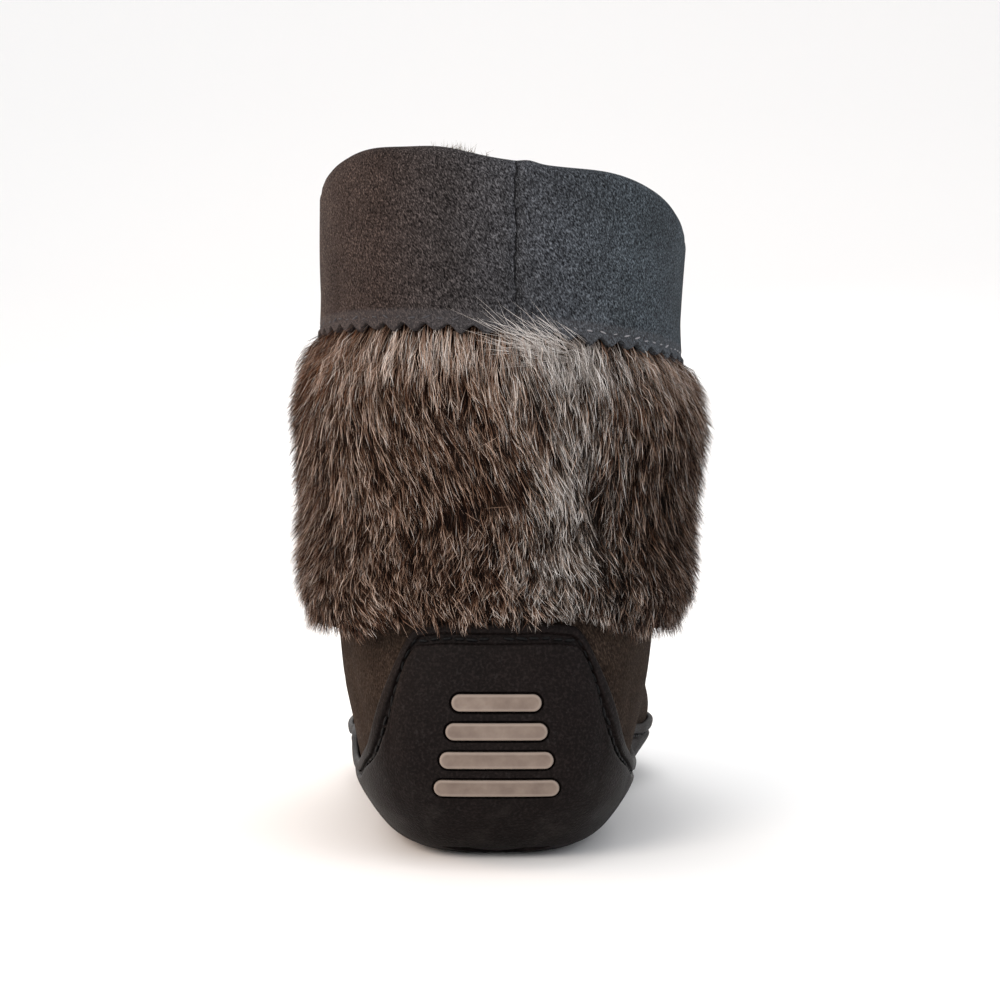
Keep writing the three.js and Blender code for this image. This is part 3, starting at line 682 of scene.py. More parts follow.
# The heel wall's point that shows at x and z from behind, found in small steps
def heelPoint(x, z, offset):
    side = x / boot["ballHalf"]
    rise = z / boot["collarHeight"]
    for _ in range(30):
        level = levelAt(rise)
        flat = np.clip(1 - np.abs(side) ** level["heelBlunt"], 0, 1)
        turn = np.sign(side) * np.arccos(flat ** (1 / level["heelBlunt"]))
        point = skin(turn, rise, offset)
        side = np.clip(side + 0.7 * (x - point[..., 0]) / boot["ballHalf"], -0.99, 0.99)
        rise = np.clip(rise + 0.7 * (z - point[..., 2]) / 150, 0, 1)
    return point


def barRow(index, inset, offset):
    half = (bars["longest"] - bars["taper"] * index) / 2
    radius = bars["height"] / 2

    def row(_):
        x, z = stadium(half - inset, max(radius - inset, 0))
        return heelPoint(x, z + bars["lowest"] + bars["pitch"] * index, offset)
    return row


def barSolid(name, index, rows):
    return addBand(name, stadium(1, 1)[0], [barRow(index, inset, offset) for inset, offset in rows])


panel = sole["panelOffset"]
pocketFloor = panel - sole["pocketDepth"]
middleLine = bars["height"] / 2
margin = -sole["pocketMargin"]
mouth = panel + 4
# each row's inset from the bar's outline and offset from the skin
pocketRows = [(middleLine, pocketFloor), (margin + 0.3, pocketFloor), (margin, pocketFloor + 0.3),
              (margin, panel - 0.25), (margin - 0.3, panel + 0.1), (margin - 0.3, mouth), (middleLine, mouth)]
cutters = [barSolid(f"pocket_{index + 1}", index, pocketRows) for index in range(bars["count"])]


# Chevron grooves between the lugs, as deep as the lugs all along the arch and toe spring
def treadRow(y, spread, lift):
    def row(_):
        reach = sole["treadReach"]
        x = np.array([0, reach, reach, 0, -reach, -reach, 0])
        ahead = np.array([-1, -1, 1, 1, 1, -1, -1]) * spread * sole["treadWidth"] / 2
        line = y + sole["treadWidth"] / 2 - sole["treadSweep"] * np.abs(x) + ahead
        return np.stack([x, line, underside(line) + lift], axis=-1)
    return row


for first, count in sole["treadRows"]:
    for y in (first + i * sole["treadPitch"] for i in range(count)):
        deep = sole["treadDepth"]
        rows = [treadRow(y, 0, -deep), treadRow(y, 1, -deep), treadRow(y, 1, deep), treadRow(y, 0, deep)]
        cutters.append(addBand(f"groove_{y}", np.arange(7), rows))
joinInto(cutters[0], cutters[1:])
applyModifier(rubberSole, "BOOLEAN", operation="DIFFERENCE", object=cutters[0], solver="MANIFOLD")
bpy.data.objects.remove(cutters[0])
activate(rubberSole)
bpy.ops.object.shade_smooth_by_angle(angle=math.radians(sole["smoothDegrees"]))
finishPiece(rubberSole, blackRubber, "sole_rubber", "outsole")

proud = panel + bars["proud"]
barFloor = pocketFloor + 0.3
barRows = [(middleLine, barFloor), (0.2, barFloor), (0, pocketFloor + 0.5), (0, proud - 0.45),
           (0.12, proud - 0.15), (0.4, proud), (0.75, proud - 0.02), (1.0, proud - 0.14), (1.6, proud - 0.16),
           (middleLine, proud - 0.16)]
for index in range(bars["count"]):
    heelBar = barSolid(f"heel_bar_{index + 1}", index, barRows)
    finishPiece(heelBar, trimRubber, "inlay_rubber", f"heel_inlay_{index + 1}")
print("sole done")


# Thread: one stitch is modelled and copied along a line
def stitchTemplate(length, width, height):
    deselectAll()
    bpy.ops.mesh.primitive_uv_sphere_add(segments=8, ring_count=6, radius=1)
    thread = bpy.context.object
    corners = readPoints(thread)[:, [2, 0, 1]]
    corners[:, 0] = np.sign(corners[:, 0]) * np.abs(corners[:, 0]) ** 0.7  # blunter ends
    faces = [list(face.vertices) for face in thread.data.polygons]
    bpy.data.objects.remove(thread)
    return corners * np.array([length, width, height]) / 2, faces


# Stitches along a path by a piece's settings; stray is how much they tilt, differ in size and wander
def addStitches(name, path, settings, rng):
    corners, faces = stitchTemplate(*settings["stitch"])
    tiltStray, sizeStray, wander = settings["stitchStray"]
    turns = spacedTurns(path, pitch=settings["stitchPitch"])[:-1]
    turns = turns[degreesFromHeel(turns) > settings["stitchFrom"]]
    step = 0.004
    place = path(turns)
    along = unit(path(turns + step) - path(turns - step))
    _, out = skinFrame(turns, riseAtHeight(turns, place[:, 2]))
    aside = unit(np.cross(out, along))
    out = np.cross(along, aside)
    tilt = rng.normal(0, tiltStray, (len(turns), 1, 1))
    size = 1 + rng.normal(0, sizeStray, (len(turns), 1, 1))
    place = place + aside * rng.normal(0, wander, (len(turns), 1))
    leaning = along[:, None] + tilt * aside[:, None]
    shaped = corners[:, 0, None] * leaning + corners[:, 1, None] * aside[:, None]
    shaped = shaped + corners[:, 2, None] * out[:, None]
    piece = addJoined(name, place[:, None] + size * shaped, faces)
    activate(piece)
    bpy.ops.object.shade_smooth()
    return piece


def groovePath(turn):
    return skin(turn, rubberRise(turn, sole["stitchInset"] + 0.5 * grooveWiden(turn)), sole["stitchOut"])


rng = np.random.default_rng(sole["stitchSeed"])
soleStitches = addStitches("sole_stitches", groovePath, sole, rng)
finishPiece(soleStitches, blackThread, "sole_rubber")

# Suede upper: one wall, with the apron seam raised on the vamp, its gathers below it and the creases of wear
upper = {
    "columns": 260, "ring": 0.3, "ridgeWidth": 1.5, "gatherPitch": 7.5, "gatherRadius": 52,
    "gatherDepth": 0.8, "gatherReach": 9, "gatherAbove": 3, "vampDegrees": (95, 120), "vampHeights": (46, 60),
    # creases where the foot bends: how far along, depth, width
    "flexCreases": ((166, 1.3, 4.0), (178, 1.0, 3.4), (189, 0.6, 3.0)), "flexBend": 0.004, "flexReach": 34,
    # creases on the sides: side, from y, z to y, z, depth, width
    "sideCreases": ((1, 70, 34, 112, 62, 0.9, 4.5), (-1, 62, 36, 108, 64, 1.0, 4.5),
                    (1, 118, 40, 150, 66, 0.7, 4), (-1, 122, 38, 152, 68, 0.8, 4),
                    (-1, 28, 42, 50, 66, 0.6, 4), (1, 26, 46, 48, 66, 0.5, 4)),
    "footShares": (0, 0.35, 0.7),
    "seamShares": (0, 0.12, 0.25, 0.38, 0.5, 0.62, 0.74, 0.84, 0.91, 0.955, 0.98, 1),
    "hemShares": (0.02, 0.045, 0.09, 0.16, 0.26, 0.37, 0.49, 0.61, 0.74, 0.87, 1),
    "stitchPitch": 5.2, "stitch": (3.4, 1.1, 1.0), "stitchStray": (0.2, 0.1, 0.15), "stitchFrom": 106,
    "stitchShare": 0.9,
}


def segmentDistance(u, v, u0, v0, u1, v1):
    length = math.hypot(u1 - u0, v1 - v0)
    along = np.clip(((u - u0) * (u1 - u0) + (v - v0) * (v1 - v0)) / length**2, 0, 1)
    return np.hypot(u - mix(u0, u1, along), v - mix(v0, v1, along))


def suedeRelief(turn, rise):
    point = skin(turn, rise)
    step = boot["step"]
    perRise = np.linalg.norm(skin(turn, rise + step) - skin(turn, rise - step), axis=-1) / (2 * step)
    fromSeam = (rise - seamRise(turn)) * perRise
    ridge = seamAt(degreesFromHeel(turn))["ridge"]
    relief = ridge * hump(fromSeam, 0, upper["ridgeWidth"])
    gathers = np.cos(turn * 2 * math.pi * upper["gatherRadius"] / upper["gatherPitch"])
    below = np.where(fromSeam < 0, np.exp(fromSeam / upper["gatherReach"]),
                     np.exp(-fromSeam / upper["gatherAbove"]))
    relief += upper["gatherDepth"] * (ridge / 2) * gathers * below * (1 - hump(fromSeam, 0, 1.2))
    onVamp = ease(*upper["vampDegrees"], degreesFromHeel(turn)) * ease(*upper["vampHeights"], point[..., 2])
    for y, depth, width in upper["flexCreases"]:
        away = point[..., 1] - y - upper["flexBend"] * point[..., 0] ** 2
        across = hump(point[..., 0], 0, upper["flexReach"])
        relief -= depth * onVamp * across * (hump(away, 0, width / 2) - 0.6 * hump(away, width, width * 0.7))
    for side, y0, z0, y1, z1, depth, width in upper["sideCreases"]:
        away = segmentDistance(point[..., 1], point[..., 2], y0, z0, y1, z1)
        relief -= depth * hump(away, 0, width) * (np.sign(point[..., 0]) == side)
    return relief


def upperRow(riseAt, offset=0.0, relief=False):
    def row(turn):
        rise = riseAt(turn)
        return skin(turn, rise, suedeRelief(turn, rise) if relief else offset)
    return row


def between(low, high, share):
    return lambda turn: mix(low(turn), high(turn), share)


def levelLine(rise):
    return lambda turn: rise


featherLine = levelLine(0.0)
cuffLine = levelLine(boot["cuffRise"])
shaftTop = levelLine(boot["shaftTop"])
innerFace = -boot["wall"]
upperRows = [
    *(upperRow(between(featherLine, rubberRise, share)) for share in upper["footShares"]),
    *(upperRow(between(rubberRise, seamRise, share), relief=True) for share in upper["seamShares"]),
    *(upperRow(between(seamRise, hemRise, share), relief=True) for share in upper["hemShares"]),
    *(upperRow(between(hemRise, cuffLine, share)) for share in (0.15, 0.5, 1)),
    upperRow(shaftTop),
    upperRow(shaftTop, innerFace),
    *(upperRow(between(hemRise, cuffLine, share), innerFace) for share in (1, 0.5, 0)),
    *(upperRow(between(featherLine, hemRise, share), innerFace) for share in (0.75, 0.5, 0.25, 0)),
    upperRow(featherLine),
]
suedeUpper = addBand("suede_upper", ringTurns(upper["columns"], upper["ring"]), upperRows)
smoothOut(suedeUpper)
finishPiece(suedeUpper, footSuede, "foot_suede", "upper")


def apronPath(turn):
    return skin(turn, seamRise(turn), seamAt(degreesFromHeel(turn))["ridge"] * upper["stitchShare"])


apronStitches = addStitches("apron_stitches", apronPath, upper, rng)
finishPiece(apronStitches, brownThread, "foot_suede")


# Fur: a dark pelt on the shaft, partly painted shade deep in the coat, and locks of hair that lie down over
# each other from the cuff to the hem
fur = {
    "ring": 0.66, "columns": 160, "pelt": 0.6, "sideSpread": 0.22, "seed": 11, "stations": 3,
    "length": 9.4, "spread": 0.25, "lengths": (4, 40), "width": 0.2, "rootShare": 0.55, "rootTone": 0.24,
    "cuffTone": 0.62, "fan": -0.5, "sway": 0.12, "curl": 0.5, "gather": 0.7, "gathered": (0.3, 1.2),
    "lockWide": 3.2, "lockLong": 6.5, "lockLean": 0.1, "lockTone": 0.1, "lockLift": (-1, 2.2),
    "lockSize": (0.85, 1.15), "lockStray": 0.9, "lockHem": 1.3,
    # hairs start under the cuff and hang past the band, more at the sides; at the heel they hang lower on
    # the left and are shorter on the right: x, reach, how far
    "underCuff": 3.5, "overhang": (8.2, 0.9), "sideOverhang": 4, "leftDrop": (-36, 16, 2.4),
    "heelTrim": (16, 20, 5.2),
    # share of grey hairs: everywhere, more round x with its reach (grey hair, and also painted cool shade on
    # the right side), and more where a patch is paler
    "grey": (0.08, 0.7, 20, 16, 1.1),
    # hairs, share of the length, how high they lie, how much darker, widths, roll, how much finer at the cuff
    "down": (16000, 0.7, (0.5, 0.8), 0.22, (1.2, 2.0), 0.5, 0.0),
    "coat": (118000, 1.0, (0.6, 1.1), 0.0, (0.7, 1.25), 0.8, 0.35),
    # the lie of the hair on the back: x, z, reach across, reach up, lean to the right in radians
    "flows": ((-50, 148, 10, 9, -0.3), (-27, 122, 14, 18, 0.4), (2, 122, 16, 16, 0.5), (12, 149, 15, 8, 0.35),
              (42, 146, 12, 9, 0.5), (40, 95, 15, 28, -0.1), (22, 94, 6, 9, 0.25), (-40, 92, 13, 18, 0.2),
              (-30, 70, 16, 12, 0.35), (-62, 80, 7, 20, -0.2), (12, 76, 12, 12, 0.1)),
    # patches on the back: x, z, reach across, reach up, how much paler; the dark patch at 27, 79 beside a
    # parting is painted shade
    "patches": ((-18, 152, 15, 9, 0.26), (21, 148, 15, 9, 0.3), (4, 141, 4, 8, 0.22),
                (-40, 143, 14, 11, 0.15), (18, 107, 4, 9, 0.46), (20, 89, 4, 6, 0.46),
                (13, 112, 8, 13, 0.14), (15, 82, 11, 11, 0.22),
                (-3, 116, 16, 14, -0.18), (-26, 120, 6, 7, -0.1), (46, 98, 16, 30, -0.26),
                (44, 140, 14, 10, 0.14), (20, 136, 12, 10, 0.1), (27, 79, 4, 7, -0.25),
                (-20, 86, 16, 12, -0.12), (2, 76, 22, 9, -0.1)),
    # partings on the back: from x, z to x, z, how wide and how much painted shade darkens the hair along them
    "partings": ((7, 110, -19, 98, 2.4, 0.4), (25, 109, 27, 92, 2.0, 0.35), (-34, 128, -30, 112, 1.6, 0.2)),
    "russet": (-58, 148, 12, 13),
    # loose hairs and the tuft over the cuff's edge: how many, then middle and spread or from and to
    "strays": {"count": 60, "lean": (0, 0.5), "length": (6, 11), "lift": (0.5, 2), "tone": (0.36, 0.48)},
    "tuft": {"count": 260, "around": (16, 5), "down": (-1, 4), "lean": (-1.82, 0.2), "length": (4, 17),
             "lift": (4.6, 6.5), "tone": (0.92, 1.0)},
}


# The hair stands a little further off at the sides than the solid band
def coatLoft(turn, share):
    return furLoft(turn, share) * (1 + fur["sideSpread"] * np.sin(turn) ** 2)


def peltRow(share):
    return lambda turn: skin(turn, furRise(turn, share), fur["pelt"] * coatLoft(turn, share))


def peltEdge(share, offset):
    return lambda turn: skin(turn, furRise(turn, share), offset)


peltRows = [
    *(peltRow(share) for share in np.linspace(0, 0.97, 20)),
    *(peltEdge(share, 1.3) for share in (1.0, 1.06)),
    *(peltEdge(share, boot["gap"]) for share in (1.06, 0.5, 0.0)),
    peltRow(0),
]
furPelt = addBand("fur_pelt", ringTurns(fur["columns"], fur["ring"]), peltRows)
finishPiece(furPelt, pelt, "fur", "fur_band")

ringFine = ringTurns(2000, fur["ring"])
ringLength = np.linalg.norm(np.diff(skin(ringFine, fur["ring"]), axis=0), axis=1).sum()
bandShares = np.linspace(0, 1, 9)[:, None]
bandLine = skin(ringFine[None], furRise(ringFine[None], bandShares))
bandFall = np.linalg.norm(np.diff(bandLine, axis=0), axis=-1).sum(axis=0)


# A place on the band from millimetres round it and millimetres down from the cuff
def bandPlace(around, down):
    share = (around % ringLength) / ringLength * (len(ringFine) - 1)
    turn = np.interp(share, np.arange(len(ringFine)), ringFine)
    fall = np.interp(share, np.arange(len(ringFine)), bandFall)
    return turn, fall, 1 - down / fall


def hairLie(point):
    x, z = point[..., 0], point[..., 2]
    lean = np.zeros_like(x)
    for middleX, middleZ, reachX, reachZ, right in fur["flows"]:
        lean += right * hump(x, middleX, reachX) * hump(z, middleZ, reachZ)
    return lean * (1 - ease(45, 90, point[..., 1]))


def patchTone(point):
    x, z = point[..., 0], point[..., 2]
    onBack = 1 - ease(30, 75, point[..., 1])
    tone = np.zeros_like(x)
    for middleX, middleZ, reachX, reachZ, paler in fur["patches"]:
        tone += paler * onBack * hump(x, middleX, reachX) * hump(z, middleZ, reachZ)
    # partings: painted shade that darkens the hair in the gap, where the coat also dips
    part = np.zeros_like(x)
    for x0, z0, x1, z1, width, dark in fur["partings"]:
        part = np.maximum(part, dark * onBack * hump(segmentDistance(x, z, x0, z0, x1, z1), 0, width))
    middleX, middleZ, reachX, reachZ = fur["russet"]
    return tone, part, onBack * hump(x, middleX, reachX) * hump(z, middleZ, reachZ)


# Ribbons along hairs: points is hairs x stations x 3, and the last station is the tip
def addRibbons(name, points, normals, width, roll, tone, start=0.0):
    hairs, stations = points.shape[:2]
    along = np.gradient(points, axis=1)
    aside = unit(np.cross(along, normals), 1e-9)
    up = unit(np.cross(aside, along), 1e-9)
    aside = aside * np.cos(roll)[:, None, None] + up * np.sin(roll)[:, None, None]
    taper = np.interp(np.linspace(0, 1, stations), [0, 0.4, 0.75, 1], [0.8, 1, 0.75, 0])
    half = width[:, None, None] / 2 * taper[None, :, None] * aside
    pairs = np.stack([points - half, points + half], axis=2)[:, :-1].reshape(hairs, -1, 3)
    corners = np.concatenate([pairs, points[:, -1:]], axis=1)
    faces = [[2 * i, 2 * i + 1, 2 * i + 3, 2 * i + 2] for i in range(stations - 2)]
    last = 2 * (stations - 2)
    faces.append([last, last + 1, last + 2])
    piece = addJoined(name, corners, faces)
    cornerAlong = np.append(np.repeat(np.linspace(0, 1, stations)[:-1], 2), 1.0)
    cornerSide = np.append(np.tile([0.0, 1.0], stations - 1), 0.5)
    loops = np.concatenate([np.array(face) for face in faces])
    u = 0.002 + 0.992 * np.clip(tone, 0, 1)[:, None] + 0.004 * cornerSide[loops][None]
    start = np.broadcast_to(start, hairs)[:, None]
    v = mix(start, 1, cornerAlong[loops][None])
    layer = piece.data.uv_layers.new(name="OFBake")
    layer.data.foreach_set("uv", np.stack([u, v], axis=-1).astype(np.float32).ravel())
    return piece


def growHairs(count, rng, lengthShare, lifts):
    around = rng.uniform(0, ringLength, count * 2)
    down = rng.uniform(-fur["underCuff"], bandFall.max(), count * 2)
    _, fall, _ = bandPlace(around, down)
    kept = np.flatnonzero(down < fall - 3)[:count]
    around, down, fall = around[kept], down[kept], fall[kept]
    grown = len(around)
    # each hair belongs to a lock, and its tip is drawn to the lock's own tip
    columns, rows = int(ringLength / fur["lockWide"]), int(bandFall.max() / fur["lockLong"]) + 3
    column = np.rint(around / ringLength * columns).astype(int) % columns
    row = np.rint((down + fur["underCuff"]) / fur["lockLong"] + 0.5 * (column % 2)).astype(int)
    locks = np.random.default_rng(fur["seed"])
    lockLean = locks.normal(0, fur["lockLean"], (columns, rows + 1))[column, row]
    lockTone = locks.normal(0, fur["lockTone"], (columns, rows + 1))[column, row]
    lockLift = locks.uniform(*fur["lockLift"], (columns, rows + 1))[column, row]
    lockSize = locks.uniform(*fur["lockSize"], (columns, rows + 1))[column, row]
    lockStray = locks.normal(0, fur["lockStray"], (columns, rows + 1))[column, row]
    lockAround = column / columns * ringLength + lockStray
    lockDown = (row - 0.5 * (column % 2)) * fur["lockLong"] - fur["underCuff"]
    turn, _, share = bandPlace(around, down)
    root = skin(turn, furRise(turn, share))
    # hairs near the hem sway less
    steady = 1 - 0.6 * ease(-16, -4, down - fall)
    lean = fur["fan"] * np.sin(turn) + hairLie(root) + steady * (lockLean + rng.normal(0, fur["sway"], grown))
    # hairs that start near the cuff are shorter and come up from under its edge
    nearCuff = 1 - ease(0, 12, down)
    length = fur["length"] * lengthShare * lockSize * (1 + rng.normal(0, fur["spread"], grown))
    length = length * (1 - 0.2 * nearCuff) + 0.5 * (lockDown - down)
    lockHem = locks.normal(0, fur["lockHem"], (columns, rows + 1))[column, 0]
    hem = fall + lockHem + rng.normal(*fur["overhang"], grown) + fur["sideOverhang"] * np.sin(turn) ** 2
    atHeel = 1 - ease(45, 75, root[:, 1])
    leftX, leftReach, dropped = fur["leftDrop"]
    rightX, rightReach, trimmed = fur["heelTrim"]
    ragged = dropped * hump(root[:, 0], leftX, leftReach) - trimmed * hump(root[:, 0], rightX, rightReach)
    toHem = (hem + atHeel * ragged - down) / np.cos(np.clip(lean, -1.2, 1.2))
    length = np.clip(np.minimum(length, toHem), *fur["lengths"])
    gap = (lockAround - around + ringLength / 2) % ringLength - ringLength / 2
    drawn = fur["gather"] * gap * rng.uniform(*fur["gathered"], grown)
    curl = rng.normal(0, fur["curl"], grown)
    along = np.linspace(0, 1, fur["stations"])[None]
    hairAround = around[:, None] + length[:, None] * np.sin(lean)[:, None] * along
    hairAround = hairAround + drawn[:, None] * along**1.5 + curl[:, None] * np.sin(along * math.pi)
    hairDown = down[:, None] + length[:, None] * np.cos(lean)[:, None] * along
    turns, _, shares = bandPlace(hairAround, hairDown)
    loft = coatLoft(turns, np.clip(shares, 0, 0.9)) * mix(0.58, 1, ease(-3, 9, hairDown))
    high = rng.uniform(*lifts, grown)
    power = mix(1.3, 3.0, nearCuff)[:, None]
    base, normals = skinFrame(turns, furRise(turns, shares))
    tone, part, russet = patchTone(base)
    # a hair rises from low at its root to the coat's top, which dips along a parting
    top = (loft * high[:, None] + lockLift[:, None] * ease(0.2, 1, high)[:, None]) * (1 - 1.1 * part)
    low = np.minimum(mix(0.1, fur["rootShare"], ease(0, 10, down))[:, None] * loft, 0.8 * top)
    offset = np.maximum(low + (top - low) * (1 - (1 - along) ** power), np.where(shares < 0, 3.1, 0.9))
    points = base + normals * offset[..., None]
    # its tone comes from its lock and the patch it lies in, less painted shade along partings and towards the
    # lock's edge, which darkens the gaps between locks
    middle = fur["stations"] // 2
    lockGapShade = np.clip(np.abs(gap) / fur["lockWide"] * 2, 0, 1.3)
    shade = lockTone + tone[:, middle] - part[:, middle] + 0.09 - 0.18 * lockGapShade
    # the extra grey round greyX is partly grey hair and partly painted cool shade on the right side
    least, more, greyX, greyReach, inPatch = fur["grey"]
    grey = least + more * hump(root[:, 0], greyX, greyReach) + inPatch * np.maximum(tone[:, middle], 0)
    return points, normals, shade, russet[:, middle], grey, nearCuff


# Nearly half of the hairs are dark, a quarter are middling and the rest are pale
def hairTones(rng, shade, russet, grey, nearCuff):
    count = len(shade)
    kind = rng.random(count)
    dark = rng.normal(0.15, 0.06, count)
    middling = rng.normal(0.48, 0.08, count)
    own = np.where(kind < 0.44, dark, np.where(kind < 0.7, middling, rng.normal(0.92, 0.1, count)))
    tone = np.clip(mix(own, 0.55, 0.35 * nearCuff) + shade, 0.02, 1)
    family = np.where(rng.random(count) < grey, 0.58, 0.12)
    return np.where(rng.random(count) < 0.8 * russet, rng.uniform(0.01, 0.09, count), family + 0.42 * tone)


def growCoat(rng, count, lengthShare, lifts, darker, widths, roll, finer):
    points, normals, shade, russet, grey, nearCuff = growHairs(count, rng, lengthShare, lifts)
    tones = hairTones(rng, shade - darker, russet, grey, nearCuff)
    width = rng.uniform(*widths, len(points)) * fur["width"] * (1 - finer * nearCuff)
    rolls = rng.uniform(-roll, roll, len(points))
    return points, normals, width, rolls, tones, mix(fur["rootTone"], fur["cuffTone"], nearCuff)


rng = np.random.default_rng(fur["seed"])
finishPiece(addRibbons("fur_down", *growCoat(rng, *fur["down"])), hair, "fur")
coat = growCoat(rng, *fur["coat"])
inner = coat[0][:, 0, 0] > 0
for name, side in (("fur_hairs_inner", inner), ("fur_hairs_outer", ~inner)):
    finishPiece(addRibbons(name, *(values[side] for values in coat)), hair, "fur")


# Loose hairs that stand off the coat, and a tuft that lies up over the cuff's edge beside the back seam
def strayHairs(rng):
    strays, tuft = fur["strays"], fur["tuft"]
    count = strays["count"] + tuft["count"]
    over = np.arange(count) >= strays["count"]
    around = np.where(over, rng.normal(*tuft["around"], count), rng.uniform(0, ringLength, count))
    down = np.where(over, rng.uniform(*tuft["down"], count), rng.uniform(2, bandFall.min() - 6, count))
    lean = np.where(over, rng.normal(*tuft["lean"], count), rng.normal(*strays["lean"], count))
    length = np.where(over, rng.uniform(*tuft["length"], count), rng.uniform(*strays["length"], count))
    along = np.linspace(0, 1, 5)[None]
    bend = rng.normal(0, 0.25, count)[:, None]
    hairAround = around[:, None] + length[:, None] * (np.sin(lean)[:, None] * along + bend * along**2)
    hairDown = down[:, None] + length[:, None] * np.cos(lean)[:, None] * along
    turns, _, shares = bandPlace(hairAround, np.minimum(hairDown, bandFall.min() + 3))
    base, normals = skinFrame(turns, furRise(turns, shares))
    loft = furLoft(turns, np.clip(shares, 0, 0.9))
    lift = np.where(over[:, None], rng.uniform(*tuft["lift"], count)[:, None],
                    loft + rng.uniform(*strays["lift"], count)[:, None])
    offset = 2 + (lift - 2) * (1 - (1 - along) ** 2)
    tones = np.where(over, rng.uniform(*tuft["tone"], count), rng.uniform(*strays["tone"], count))
    return base + normals * offset[..., None], normals, tones


points, normals, tones = strayHairs(rng)
widths = np.full(len(points), 0.5 * fur["width"])
rolls = rng.uniform(-0.6, 0.6, len(points))
strays = addRibbons("fur_stray_hairs", points, normals, widths, rolls, tones, 0.6)
finishPiece(strays, hair, "fur")
print("fur done")

# Suede cuff: round the top of the shaft, folded over its rim, its pinked lower edge over the fur
cuff = {
    "teeth": 55, "perTooth": 8, "toothHeight": 2.8, "toothRound": 0.86, "thickness": 1.8, "overFur": 1.9,
    "swell": 0.6, "bandCurl": 0.7, "halfRise": 0.07, "middle": (2, 75),
    "rimMiddle": -1.2, "rimHalf": 3.5, "rimHeight": 5.0, "seamX": 5.5, "seamDepth": 1.0, "seamWidth": 0.7,
    # lifts of the rim at the back: x, reach, how high
    "rimLifts": ((38, 16, 3.2), (52, 10, 1.5), (-17, 11, 1.8), (-38, 13, 2.2), (9.5, 3, 0.7)),
    "stitchAbove": 4.6, "stitchPitch": 4.6, "stitchTrough": 0.55, "stitch": (2.1, 0.55, 0.6),
    "stitchOut": 0.1, "stitchStray": (0.28, 0.24, 0.22), "stitchFrom": 0, "stitchSeed": 8,
    # soft dents and swells: degrees round from the heel, share up the cuff, reaches, how far out
    "swells": ((-38, 0.55, 26, 0.4, 0.9), (30, 0.6, 22, 0.4, 0.7), (75, 0.5, 26, 0.5, -0.8),
               (-95, 0.5, 30, 0.4, 0.8), (150, 0.5, 30, 0.5, 0.7), (-150, 0.55, 34, 0.4, -0.7),
               (-10, 0.7, 9, 0.3, -0.4), (112, 0.6, 20, 0.4, 0.8)),
    "outsideUps": (0.35, 0.9, 1.7, 2.5, 3.2, 3.9, 4.8), "bodyFrom": 6, "bodyRows": 18,
    # down the inside, round the turned-in edge and back up against the shaft: rise, offset
    "insideRows": ((0.965, -4.75), (0.95, -4.8), (0.93, -4.8), (0.93, -3), (0.984, -3), (0.986, -1),
                   (0.986, 0.3), (0.93, 0.4)),
}


# The rise that lies so many millimetres above the cuff's edge line, and the cuff's whole height
def cuffUp(turn, up):
    low, step = boot["cuffRise"], cuff["halfRise"]
    edge, middle, rim = (levelPoint(turn, levelAt(low + i * step)) for i in range(3))
    lowerHalf = np.linalg.norm(middle - edge, axis=-1)
    upperHalf = np.linalg.norm(rim - middle, axis=-1)
    inLower = step * up / lowerHalf
    inUpper = step + step * (up - lowerHalf) / upperHalf
    return low + np.where(up < lowerHalf, inLower, inUpper), lowerHalf + upperHalf


def toothWave(turn):
    tooth = turn / (2 * math.pi) * cuff["teeth"]
    wave = np.abs((tooth % 1) * 2 - 1) * 2 - 1
    uneven = 1 + 0.28 * np.sin(np.floor(tooth) * 2.4) * (wave < 0)
    roundness = math.pi / 2 * cuff["toothRound"]
    return uneven * np.sin(wave * roundness) / math.sin(roundness)


# Millimetres to the right of the back seam, which isn't quite straight
def rightOfSeam(point):
    z = point[..., 2]
    seam = cuff["seamX"] + 0.25 * np.sin(z * 1.1) + 0.3 * np.sin(z * 0.31 + 1)
    return np.where(point[..., 1] < 60, point[..., 0] - seam, 99)


def cuffShare(rise):
    return (rise - boot["cuffRise"]) / (1 - boot["cuffRise"])


# The seam's dip and its two lips, the trough of the stitches and the soft swells
def cuffRelief(turn, rise, up):
    point = skin(turn, rise)
    away = rightOfSeam(point)
    relief = -cuff["seamDepth"] * hump(away, 0, cuff["seamWidth"])
    relief += 0.45 * hump(away, -2.2, 1.4) + 0.3 * hump(away, 2.3, 1.6)
    relief += 0.22 * np.sin(up * 2 * math.pi / 4.2) * hump(away, 0, 3.2) * (np.abs(away) > 0.5)
    relief -= cuff["stitchTrough"] * hump(up, cuff["stitchAbove"] - cuff["toothHeight"] / 2, 0.7)
    share = cuffShare(rise)
    degrees = np.degrees((turn + math.pi) % (2 * math.pi) - math.pi)
    for middle, shareUp, reach, reachUp, out in cuff["swells"]:
        off = (degrees - middle + 180) % 360 - 180
        relief += out * hump(off, 0, reach) * hump(share, shareUp, reachUp)
    return relief


# The rim at the back isn't level: it is raised on both sides of the seam
def liftRim(point, rise):
    share = ease(0.3, 1, cuffShare(rise))
    onBack = 1 - ease(60, 110, point[..., 1])
    for x, reach, lift in cuff["rimLifts"]:
        point[..., 2] += lift * share * onBack * hump(point[..., 0], x, reach)
    return point


def cuffRow(up, offset, pinked=0.0, relief=1.0):
    def row(turn):
        height = up + pinked * toothWave(turn) * cuff["toothHeight"] / 2
        rise, _ = cuffUp(turn, height)
        return liftRim(skin(turn, rise, offset + relief * cuffRelief(turn, rise, height)), rise)
    return row


